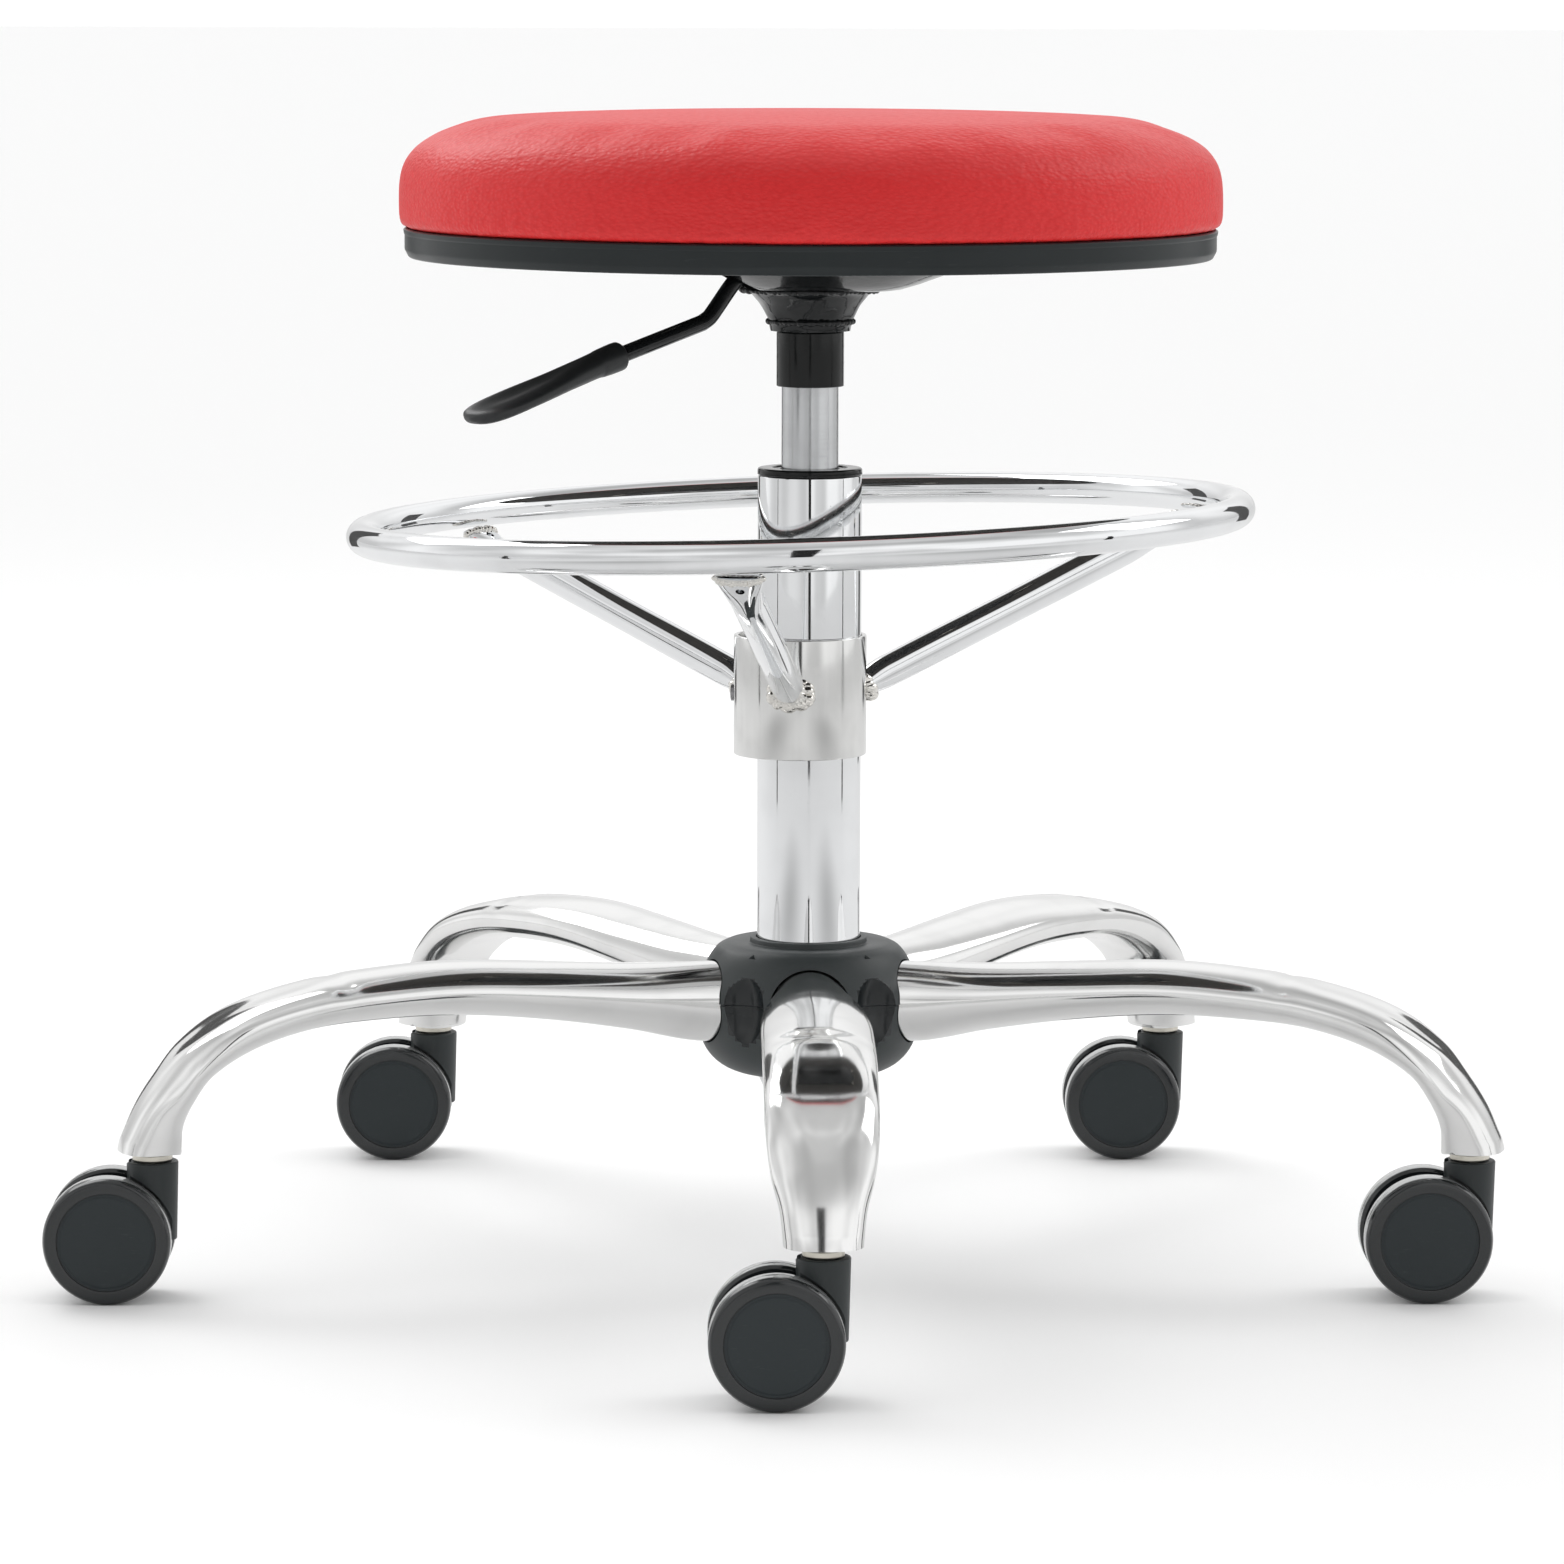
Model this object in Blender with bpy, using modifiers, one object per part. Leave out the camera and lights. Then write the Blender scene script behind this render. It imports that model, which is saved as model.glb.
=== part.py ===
"""Rolling stylist stool: a round padded seat on a gas lift, a foot ring, and a five-leg base on casters.

Metres, +Z up. The origin is on the floor, in the middle of the stool's footprint, and the front leg
points along -Y. Every sub-part is its own named object. Moving pieces hang from empties that stand on
the axes they move about.
"""

import math

import bmesh
import bpy
from mathutils import Matrix, Vector

# ---------------------------------------------------------------- driving dimensions
GAP = 0.0003                 # left between pieces that touch
RUNNING = 0.0002             # radial clearance of a shaft that turns or slides in a bore

AXIS_X = 0.0176              # the column's axis, from the middle of the footprint
AXIS_Y = 0.0313

LEG_COUNT = 5
STEM_CIRCLE = 0.3266         # radius of the circle through the caster stems

WHEEL_RADIUS = 0.0300        # to the flats that stand on the floor
WHEEL_WIDTH = 0.0145
WHEEL_SIDES = 20
WHEEL_TRAIL = 0.0205         # from the swivel axis back to the axle
AXLE_RADIUS = 0.0040
HOOD_TOP = 0.0655
HOOD_BOTTOM = 0.0280
HOOD_RADIUS = 0.0122
WEB_THICKNESS = 0.0126
STEM_RADIUS = 0.0055
STEM_LENGTH = 0.0165         # the part that stands in the leg

LEG_WALL = 0.0022
LEG_END = 0.0705             # height of the leg's cut end
# reach from the column's axis, height, half width and half depth of the leg's cross-sections
LEG_SECTIONS = (
    (0.0312, 0.1275, 0.0192, 0.0194),
    (0.0560, 0.1278, 0.0195, 0.0193),
    (0.0900, 0.1320, 0.0226, 0.0160),
    (0.1350, 0.1372, 0.0248, 0.0137),
    (0.1800, 0.1406, 0.0257, 0.0127),
    (0.2200, 0.1394, 0.0258, 0.0117),
    (0.2523, 0.1358, 0.0258, 0.0107),
    (0.2830, 0.1269, 0.0256, 0.0102),
    (0.3059, 0.1131, 0.0250, 0.0095),
    (0.3172, 0.0985, 0.0228, 0.0098),
    (0.3242, 0.0850, 0.0192, 0.0115),
    (0.3280, LEG_END, 0.0176, 0.0145),
)
LEG_SIDES = 12
LEG_ROOT_HEIGHT = LEG_SECTIONS[0][1]

HUB_RADIUS = 0.0555
HUB_TOP = 0.1545
HUB_BOTTOM = 0.0915
HUB_SEAM = 0.1284
HUB_RIM_RADIUS = 0.0282
HUB_RIM_TOP = 0.1570
# radius and height down the shoulder of the hub's cover
HUB_SHOULDER = ((0.0390, HUB_TOP), (0.0440, 0.1520), (0.0480, 0.1470), (0.0510, 0.1410), (0.0545, 0.1340))
HUB_BELLY_CENTRE = (0.0300, 0.1140)
HUB_BELLY_WIDTH = 0.0230
HUB_CAVITY_RADIUS = 0.0400
LEG_PORT_RADIUS = 0.0201
CORE_RADIUS = 0.0306
CORE_BOTTOM = 0.1020
CORE_TOP = 0.1512

COLUMN_RADIUS = 0.0250
COLUMN_WALL = 0.0020
COLUMN_BOTTOM = 0.0780
COLUMN_TOP = 0.3810
COLUMN_FLOOR = 0.0810
BUSH_TOP = 0.3847
BUSH_BOTTOM = 0.3000

CYLINDER_RADIUS = 0.0140
CYLINDER_BOTTOM = 0.1550
CYLINDER_TOP = 0.4700
ROD_RADIUS = 0.0050
ROD_TOP = 0.3450
ROD_BOTTOM = 0.0725
SLEEVE_RADIUS = 0.0162
SLEEVE_BOTTOM = 0.4237
SOCKET_BOTTOM = 0.4503

RING_RADIUS = 0.2105         # centre line of the foot ring's tube
RING_TUBE = 0.0078
RING_HEIGHT = 0.3590
FOOT_REST_SHIFT = -0.0044    # the clamp screw pulls the collar off the column's axis, along X
RING_LEAN_X = math.radians(-0.75)    # the ring was welded a little out of level, about X and Y
RING_LEAN_Y = math.radians(-2.0)
COLLAR_RADIUS = 0.0320
COLLAR_WALL = 0.0022
COLLAR_BOTTOM = 0.2463
COLLAR_TOP = 0.3040
ARM_COUNT = 3
FIRST_ARM_ANGLE = math.radians(-9.0)
# reach from the collar's axis, height, half width and half depth of an arm's cross-sections
ARM_SECTIONS = (
    (0.0324, 0.2785, 0.0085, 0.0045),
    (0.0450, 0.2838, 0.0078, 0.0078),
    (0.1720, 0.3352, 0.0078, 0.0078),
    (0.1930, 0.3425, 0.0088, 0.0040),
    (0.2050, 0.3496, 0.0105, 0.0025),
)
ARM_SIDES = 10
CLAMP_ANGLE = math.radians(170.0)
CLAMP_RADIUS = 0.0040

PLATE_TOP = 0.4865
PLATE_BOTTOM = 0.4702
PLATE_SHEET = 0.0030
PAN_CENTRE_X = 0.0120
PAN_HALF_X = 0.0655
PAN_HALF_Y = 0.0600
PAN_CORNER = 0.0340
PAN_FLOOR = 0.5500           # the pan's flat floor, as a share of the pan's outline
FLANGE_HALF_X = 0.0830
FLANGE_HALF_Y = 0.0780
SCREW_INSET = 0.0090

SEAT_SIDES = 36
BOARD_RADIUS = 0.1900
BOARD_BOTTOM = 0.4868
BOARD_TOP = 0.4978
BAND_RADIUS = 0.1945
BAND_BOTTOM = 0.4855
BAND_TOP = 0.4985
CUSHION_RADIUS = 0.1970
CUSHION_TOP = 0.5545

LEVER_ANGLE = math.radians(220.0)    # the way the lever points, from +X
LEVER_HEIGHT = 0.4800                # the rod's axis inside the seat plate
LEVER_SLOPE = math.radians(-15.0)
LEVER_PIVOT = 0.0300                 # from the column's axis
LEVER_ROD_RADIUS = 0.0039
LEVER_PIN_RADIUS = 0.0018
BUTTON_RADIUS = 0.0030
BEND_END = (0.0680, 0.4562)          # where the rod starts its straight outer run: reach, height
GRIP_START = 0.1180                  # reach of the grip's inner end
GRIP_LENGTH = 0.0920
GRIP_ROUNDNESS = 0.7                 # 1 is an oval section, and less is closer to a rectangle
# distance along the grip, half width and half thickness of its cross-sections
GRIP_SECTIONS = (
    (0.0000, 0.0068, 0.0068),
    (0.0110, 0.0070, 0.0068),
    (0.0280, 0.0082, 0.0056),
    (0.0450, 0.0114, 0.0042),
    (0.0620, 0.0140, 0.0034),
    (0.0780, 0.0138, 0.0032),
    (0.0870, 0.0108, 0.0028),
    (GRIP_LENGTH, 0.0048, 0.0018),
)

UP = Vector((0.0, 0.0, 1.0))


# ---------------------------------------------------------------- scene and materials
def clear_scene():
    """Remove every object that a new file starts with."""
    for item in list(bpy.data.objects):
        bpy.data.objects.remove(item, do_unlink=True)


def new_collection(name):
    """Make a collection under the scene's own."""
    collection = bpy.data.collections.new(name)
    bpy.context.scene.collection.children.link(collection)
    return collection


clear_scene()
PARTS = new_collection("stylist_stool")
CUTTERS = new_collection("cutters")
GUIDES = new_collection("axes")


def new_material(name, colour, roughness, metallic=0.0):
    """Make a Principled material."""
    result = bpy.data.materials.new(name)
    result.use_nodes = True
    shader = result.node_tree.nodes["Principled BSDF"]
    shader.inputs["Base Color"].default_value = (*colour, 1.0)
    shader.inputs["Roughness"].default_value = roughness
    shader.inputs["Metallic"].default_value = metallic
    return result


FINISHES = {
    "chrome": ((0.80, 0.81, 0.82), 0.07, 1.0),
    "satin_chrome": ((0.70, 0.70, 0.70), 0.25, 1.0),
    "ground_steel": ((0.62, 0.63, 0.64), 0.20, 1.0),
    "zinc": ((0.72, 0.70, 0.62), 0.35, 1.0),
    "steel": ((0.35, 0.35, 0.36), 0.40, 1.0),
    "black_gloss": ((0.012, 0.013, 0.014), 0.12, 0.0),
    "anthracite": ((0.030, 0.036, 0.038), 0.45, 0.0),
    "black_plastic": ((0.014, 0.015, 0.015), 0.50, 0.0),
    "vinyl": ((0.62, 0.045, 0.05), 0.42, 0.0),
    "plywood": ((0.42, 0.29, 0.17), 0.75, 0.0),
    "rubber": ((0.015, 0.015, 0.015), 0.80, 0.0),
}


def dress(item, finish):
    """Give an object a material of its own and smooth shading over its round faces."""
    colour, roughness, metallic = FINISHES[finish]
    item.data.materials.clear()
    item.data.materials.append(new_material(item.name, colour, roughness, metallic))
    if item.type == "MESH":
        item.data.shade_smooth()
        item.data.set_sharp_from_angle(angle=math.radians(35.0))
    return item


# ---------------------------------------------------------------- making and placing objects
def place(name, data, parent=None, location=(0.0, 0.0, 0.0), turn=0.0, collection=None):
    """Add an object to the parts, or to another collection."""
    item = bpy.data.objects.new(name, data)
    (collection or PARTS).objects.link(item)
    item.parent = parent
    item.location = location
    item.rotation_euler = (0.0, 0.0, turn)
    return item


def add_axis(name, parent=None, location=(0.0, 0.0, 0.0), turn=0.0):
    """Add an empty for pieces to hang from."""
    return place(name, None, parent, location, turn, GUIDES)


def set_aside(item):
    """Make an object a cutter: seen as a wire frame, never rendered."""
    for collection in item.users_collection:
        collection.objects.unlink(item)
    CUTTERS.objects.link(item)
    item.hide_render = True
    item.display_type = "WIRE"
    return item


def combine(item, other, operation):
    """Add a Boolean of another object, which becomes a cutter."""
    modifier = item.modifiers.new(other.name, "BOOLEAN")
    modifier.operation = operation
    modifier.solver = "EXACT"
    if other.parent is None:
        other.parent = item.parent
    modifier.object = set_aside(other)
    return item


def cut(item, *others):
    """Take each of the other shapes away from an object."""
    for other in others:
        combine(item, other, "DIFFERENCE")
    return item


def join(item, *others):
    """Add each of the other shapes to an object."""
    for other in others:
        combine(item, other, "UNION")
    return item


def realised(item):
    """Return a new mesh of an object as its modifiers leave it."""
    graph = bpy.context.evaluated_depsgraph_get()
    graph.update()
    mesh = bpy.data.meshes.new_from_object(item.evaluated_get(graph), depsgraph=graph)
    mesh.name = item.name
    return mesh


def as_mesh(item):
    """Turn a curve or a shape with modifiers into a plain mesh object at the same place."""
    mesh = realised(item)
    shape = bmesh.new()
    shape.from_mesh(mesh)
    bmesh.ops.remove_doubles(shape, verts=shape.verts, dist=0.00001)
    shape.to_mesh(mesh)
    shape.free()
    result = place(item.name + "_mesh", mesh, item.parent)
    result.matrix_world = item.matrix_world.copy()
    bpy.data.objects.remove(item, do_unlink=True)
    return result


def template_mesh(item):
    """Realise a shape that is repeated, and remove it with the cutters it used."""
    mesh = realised(item)
    used = [m.object for m in item.modifiers if m.type == "BOOLEAN"]
    for other in used + [item]:
        bpy.data.objects.remove(other, do_unlink=True)
    return mesh


# ---------------------------------------------------------------- shapes
def turned(name, profile, sides, closed, parent=None):
    """Turn a profile of (radius, height) points about Z. It runs down its outer side."""
    mesh = bpy.data.meshes.new(name)
    points = [(radius, 0.0, height) for radius, height in profile]
    edges = [(i, i + 1) for i in range(len(points) - 1)]
    if closed:
        edges.append((len(points) - 1, 0))
    mesh.from_pydata(points, edges, [])
    item = place(name, mesh, parent)
    screw = item.modifiers.new("turn", "SCREW")
    screw.axis = "Z"
    screw.steps = sides
    screw.render_steps = sides
    screw.use_merge_vertices = True
    screw.merge_threshold = 0.00001
    return item


def tube_profile(inner, outer, bottom, top):
    """Return the closed profile of a plain ring or tube."""
    return ((inner, top), (outer, top), (outer, bottom), (inner, bottom))


def arc_points(centre, radii, start, end, steps):
    """Return points along an elliptical arc, angles in degrees from +X."""
    points = []
    for step in range(steps + 1):
        angle = math.radians(start + (end - start) * step / steps)
        x = centre[0] + radii[0] * math.cos(angle)
        y = centre[1] + radii[1] * math.sin(angle)
        points.append((x, y))
    return points


def cylinder(name, start, end, radius, sides=16, end_radius=None, parent=None):
    """Make a cylinder or cone from one point to another."""
    start, end = Vector(start), Vector(end)
    along = end - start
    shape = bmesh.new()
    bmesh.ops.create_cone(
        shape, cap_ends=True, segments=sides, depth=along.length,
        radius1=radius, radius2=radius if end_radius is None else end_radius,
    )
    turn = UP.rotation_difference(along).to_matrix().to_4x4()
    bmesh.ops.transform(shape, matrix=Matrix.Translation((start + end) / 2) @ turn, verts=shape.verts)
    mesh = bpy.data.meshes.new(name)
    shape.to_mesh(mesh)
    shape.free()
    return place(name, mesh, parent)


def ball(name, centre, radii, turn=0.0):
    """Make an ellipsoid, turned about Z."""
    shape = bmesh.new()
    bmesh.ops.create_uvsphere(shape, u_segments=12, v_segments=8, radius=1.0)
    matrix = Matrix.Rotation(turn, 4, "Z") @ Matrix.Translation(centre) @ Matrix.Diagonal((*radii, 1.0))
    bmesh.ops.transform(shape, matrix=matrix, verts=shape.verts)
    mesh = bpy.data.meshes.new(name)
    shape.to_mesh(mesh)
    shape.free()
    return place(name, mesh)


def prism(name, outline, low, high):
    """Raise a flat outline from one height to another."""
    curve = bpy.data.curves.new(name, "CURVE")
    curve.dimensions = "2D"
    curve.fill_mode = "BOTH"
    curve.extrude = (high - low) / 2
    spline = curve.splines.new("POLY")
    spline.points.add(len(outline) - 1)
    for point, (x, y) in zip(spline.points, outline):
        point.co = (x, y, 0.0, 1.0)
    spline.use_cyclic_u = True
    item = place(name, curve, location=(0.0, 0.0, (low + high) / 2))
    bpy.context.view_layer.update()
    return as_mesh(item)


def box_outline(centre_x, half_x, half_y, corner):
    """Return a rectangle with its corners cut off."""
    low_x, high_x = centre_x - half_x, centre_x + half_x
    return (
        (low_x, -half_y + corner), (low_x + corner, -half_y),
        (high_x - corner, -half_y), (high_x, -half_y + corner),
        (high_x, half_y - corner), (high_x - corner, half_y),
        (low_x + corner, half_y), (low_x, half_y - corner),
    )


def box(name, size, matrix):
    """Make a box of a given size, placed by a matrix."""
    shape = bmesh.new()
    bmesh.ops.create_cube(shape, size=1.0)
    bmesh.ops.transform(shape, matrix=matrix @ Matrix.Diagonal((*size, 1.0)), verts=shape.verts)
    mesh = bpy.data.meshes.new(name)
    shape.to_mesh(mesh)
    shape.free()
    return place(name, mesh)


def wire(name, points, radius, parent=None):
    """Make a round rod along a path."""
    curve = bpy.data.curves.new(name, "CURVE")
    curve.dimensions = "3D"
    curve.bevel_depth = radius
    curve.bevel_resolution = 3
    curve.use_fill_caps = True
    spline = curve.splines.new("POLY")
    spline.points.add(len(points) - 1)
    for point, position in zip(spline.points, points):
        point.co = (*position, 1.0)
    item = place(name, curve, parent)
    bpy.context.view_layer.update()
    return as_mesh(item)


def skin(name, rings, capped):
    """Skin a row of rings that each run anticlockwise about the way the row runs."""
    sides = len(rings[0])
    points = [point for ring in rings for point in ring]
    faces = []
    for row in range(len(rings) - 1):
        for side in range(sides):
            after = (side + 1) % sides
            near, far = row * sides, (row + 1) * sides
            faces.append((near + side, near + after, far + after, far + side))
    if capped:
        last = (len(rings) - 1) * sides
        faces.append(tuple(reversed(range(sides))))
        faces.append(tuple(last + side for side in range(sides)))
    mesh = bpy.data.meshes.new(name)
    mesh.from_pydata(points, [], faces)
    return place(name, mesh)


def section_slopes(sections, first, last):
    """Return each section's slope along a path of (reach, height, ...) rows."""
    slopes = [first]
    for before, after in zip(sections, sections[2:]):
        slopes.append(math.atan2(after[1] - before[1], after[0] - before[0]))
    slopes.append(last)
    return slopes


def section_rings(sections, slopes, sides, inset=0.0):
    """Return oval rings along -Y, one for each (reach, height, half width, half depth)."""
    rings = []
    for (reach, height, half_width, half_depth), slope in zip(sections, slopes):
        ring = []
        for side in range(sides):
            angle = math.tau * side / sides
            across = (half_width - inset) * math.cos(angle)
            rise = (half_depth - inset) * math.sin(angle)
            ring.append((across, -(reach - rise * math.sin(slope)), height + rise * math.cos(slope)))
        rings.append(ring)
    return rings


# ---------------------------------------------------------------- base
def build_column(root):
    """Make the column tube, with the floor that the lift stands on, and its guide bush."""
    inner = COLUMN_RADIUS - COLUMN_WALL
    foot_radius = 0.0197
    shoulder = COLUMN_BOTTOM + 0.0120
    column = turned("column_tube", (
        (inner, COLUMN_TOP), (COLUMN_RADIUS, COLUMN_TOP),
        (COLUMN_RADIUS, shoulder), (foot_radius + 0.0029, shoulder - 0.0050),
        (foot_radius, COLUMN_BOTTOM), (ROD_RADIUS + 2 * GAP, COLUMN_BOTTOM),
        (ROD_RADIUS + 2 * GAP, COLUMN_FLOOR), (foot_radius - COLUMN_WALL, COLUMN_FLOOR),
        (inner, shoulder),
    ), 24, True, root)
    dress(column, "chrome")
    bore = CYLINDER_RADIUS + RUNNING + 0.00015
    rim = COLUMN_TOP + GAP
    sleeve = inner - GAP
    bush = turned("guide_bush", (
        (bore, BUSH_TOP), (COLUMN_RADIUS - 0.0010, BUSH_TOP),
        (COLUMN_RADIUS + 0.0002, BUSH_TOP - 0.0012), (COLUMN_RADIUS + 0.0002, rim),
        (sleeve, rim), (sleeve, BUSH_BOTTOM), (bore, BUSH_BOTTOM),
    ), 24, True, root)
    dress(bush, "black_plastic")


def build_lift_foot(root, swivel):
    """Make the bearing and the bump stop on the column's floor, and the rod with its clip."""
    hole = ROD_RADIUS + 2 * GAP
    bearing_top = COLUMN_FLOOR + 0.0075
    low = COLUMN_FLOOR + GAP
    bearing = turned("thrust_bearing", tube_profile(hole, 0.0150, low, bearing_top), 20, True, root)
    dress(bearing, "steel")
    stop_profile = (
        (hole, bearing_top + 0.0265), (0.0095, bearing_top + 0.0265), (0.0110, bearing_top + 0.0140),
        (0.0110, bearing_top + GAP), (hole, bearing_top + GAP),
    )
    dress(turned("bump_stop", stop_profile, 20, True, root), "rubber")
    rod = cylinder("piston_rod", (0, 0, ROD_BOTTOM), (0, 0, ROD_TOP), ROD_RADIUS, 12, parent=swivel)
    dress(rod, "ground_steel")
    clip_top = COLUMN_BOTTOM - GAP
    ring = tube_profile(ROD_RADIUS + GAP, 0.0090, clip_top - 0.0014, clip_top)
    clip = turned("retaining_clip", ring, 20, True, swivel)
    mouth = Matrix.Translation((0.0, 0.0080, clip_top))
    cut(clip, box("clip_mouth", (0.0070, 0.0110, 0.0060), mouth))
    dress(clip, "steel")


def leg_mesh():
    """Make one leg along -Y: a hollow formed tube with a plug that holds the caster's stem."""
    slopes = section_slopes(LEG_SECTIONS, 0.0, -math.pi / 2)
    leg = skin("leg", section_rings(LEG_SECTIONS, slopes, LEG_SIDES), False)
    wall = leg.modifiers.new("wall", "SOLIDIFY")
    wall.thickness = LEG_WALL
    wall.offset = -1.0
    end = section_rings(LEG_SECTIONS[-3:], slopes[-3:], LEG_SIDES, LEG_WALL / 2)
    join(leg, skin("leg_plug", end, True))
    low = LEG_END - 0.01
    high = LEG_END + STEM_LENGTH + 2 * GAP
    cut(leg, cylinder("stem_bore", (0, -STEM_CIRCLE, low), (0, -STEM_CIRCLE, high), STEM_RADIUS + GAP, 12))
    return template_mesh(leg)


def build_legs(root):
    """Set the legs round the hub."""
    mesh = leg_mesh()
    for number in range(LEG_COUNT):
        turn = math.tau * number / LEG_COUNT
        leg = place(f"leg_{number + 1}", mesh.copy(), root, turn=turn)
        dress(leg, "chrome")


def leg_ports(name):
    """Return cutters for the round openings that the legs come out of."""
    ports = []
    for number in range(LEG_COUNT):
        away = Matrix.Rotation(math.tau * number / LEG_COUNT, 3, "Z") @ Vector((0.0, -1.0, 0.0))
        height = UP * LEG_ROOT_HEIGHT
        start, end = away * 0.029 + height, away * 0.070 + height
        ports.append(cylinder(f"{name}_port_{number + 1}", start, end, LEG_PORT_RADIUS, 20))
    return ports


def finger_hollows(name):
    """Return cutters for the scooped hollows between the legs."""
    hollows = []
    for number in range(LEG_COUNT):
        turn = math.tau * (number + 0.5) / LEG_COUNT
        centre = (0.0, -HUB_RADIUS - 0.0045, HUB_SEAM)
        hollows.append(ball(f"{name}_hollow_{number + 1}", centre, (0.0125, 0.0115, 0.0215), turn))
    return hollows


def build_hub(root):
    """Make the welded core and the two halves of its cover."""
    bore = COLUMN_RADIUS + GAP
    core = turned("hub_core", tube_profile(bore, CORE_RADIUS - GAP, CORE_BOTTOM, CORE_TOP), 24, True, root)
    dress(core, "steel")
    bore = COLUMN_RADIUS + 2 * GAP
    low = HUB_SEAM + GAP / 2
    top = turned("hub_cover_top", (
        (bore, HUB_RIM_TOP), (HUB_RIM_RADIUS, HUB_RIM_TOP), (HUB_RIM_RADIUS, HUB_TOP),
        *HUB_SHOULDER, (HUB_RADIUS, low),
        (HUB_CAVITY_RADIUS, low), (HUB_CAVITY_RADIUS, CORE_TOP - 0.0030),
        (CORE_RADIUS, CORE_TOP + GAP), (bore, CORE_TOP + GAP),
    ), 30, True, root)
    cut(top, *leg_ports("top"), *finger_hollows("top"))
    dress(top, "anthracite")
    high = HUB_SEAM - GAP / 2
    belly = arc_points(HUB_BELLY_CENTRE, (HUB_BELLY_WIDTH, HUB_BELLY_CENTRE[1] - HUB_BOTTOM), 0, -90, 4)
    bottom = turned("hub_cover_bottom", (
        (HUB_CAVITY_RADIUS, high), (HUB_RADIUS, high), *belly, (bore, HUB_BOTTOM),
        (bore, CORE_BOTTOM - GAP), (CORE_RADIUS + GAP, CORE_BOTTOM - GAP),
        (HUB_CAVITY_RADIUS, CORE_BOTTOM + 0.0065),
    ), 30, True, root)
    cut(bottom, *leg_ports("bottom"), *finger_hollows("bottom"))
    dress(bottom, "anthracite")


# ---------------------------------------------------------------- casters
def hood_mesh():
    """Make a caster's body: a barrel for the stem and a web that holds the axle between the wheels."""
    barrel = cylinder("hood", (0, 0, HOOD_BOTTOM), (0, 0, HOOD_TOP), HOOD_RADIUS - 0.0010, 16, HOOD_RADIUS)
    boss = arc_points((-WHEEL_TRAIL, -WHEEL_RADIUS), (0.0100, 0.0100), 80, 260, 6)
    web = prism("hood_web", (
        (0.0080, -HOOD_BOTTOM - 0.0010), (0.0080, -0.0600), (-0.0070, -0.0570), *reversed(boss),
    ), -WEB_THICKNESS / 2, WEB_THICKNESS / 2)
    web.rotation_euler = (-math.pi / 2, 0.0, 0.0)
    join(barrel, web)
    for side in (-1, 1):
        start = (-WHEEL_TRAIL, side * WEB_THICKNESS / 2, WHEEL_RADIUS)
        end = (-WHEEL_TRAIL, side * 0.030, WHEEL_RADIUS)
        cut(barrel, cylinder("wheel_well", start, end, WHEEL_RADIUS + 0.0012, 20))
    bore_top = (0, 0, HOOD_TOP + 0.010)
    cut(barrel, cylinder("stem_well", (0, 0, 0.0420), bore_top, STEM_RADIUS + 2 * RUNNING, 12))
    start = (-WHEEL_TRAIL, -0.020, WHEEL_RADIUS)
    end = (-WHEEL_TRAIL, 0.020, WHEEL_RADIUS)
    cut(barrel, cylinder("axle_bore", start, end, AXLE_RADIUS + GAP, 12))
    return template_mesh(barrel)


def wheel_mesh():
    """Make one wheel about its own centre, its axle along Y and its closed face towards -Y."""
    half = WHEEL_WIDTH / 2
    rim = WHEEL_RADIUS / math.cos(math.pi / WHEEL_SIDES)
    bore = AXLE_RADIUS + RUNNING + 0.0001
    depth = 0.0100
    wheel = turned("wheel", (
        (0.0, half), (rim - 0.0040, half), (rim, half - 0.0035), (rim, 0.0010 - half),
        (rim - 0.0012, -half), (bore, -half), (bore, depth - half), (0.0, depth - half),
    ), WHEEL_SIDES, False)
    mesh = template_mesh(wheel)
    mesh.transform(Matrix.Rotation(math.pi / WHEEL_SIDES, 4, "Z"))
    mesh.transform(Matrix.Rotation(math.pi / 2, 4, "X"))
    return mesh


def stem_mesh():
    """Make a caster's stem: a pin in the hood, a domed shoulder and a pin in the leg."""
    shoulder = HOOD_TOP + GAP
    profile = (
        (0.0, LEG_END + STEM_LENGTH), (STEM_RADIUS, LEG_END + STEM_LENGTH),
        (STEM_RADIUS, LEG_END - GAP), (0.0075, LEG_END - GAP), (0.0090, shoulder + 0.0016),
        (0.0090, shoulder), (STEM_RADIUS, shoulder), (STEM_RADIUS, 0.0430), (0.0, 0.0430),
    )
    return template_mesh(turned("stem", profile, 12, False))


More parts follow.
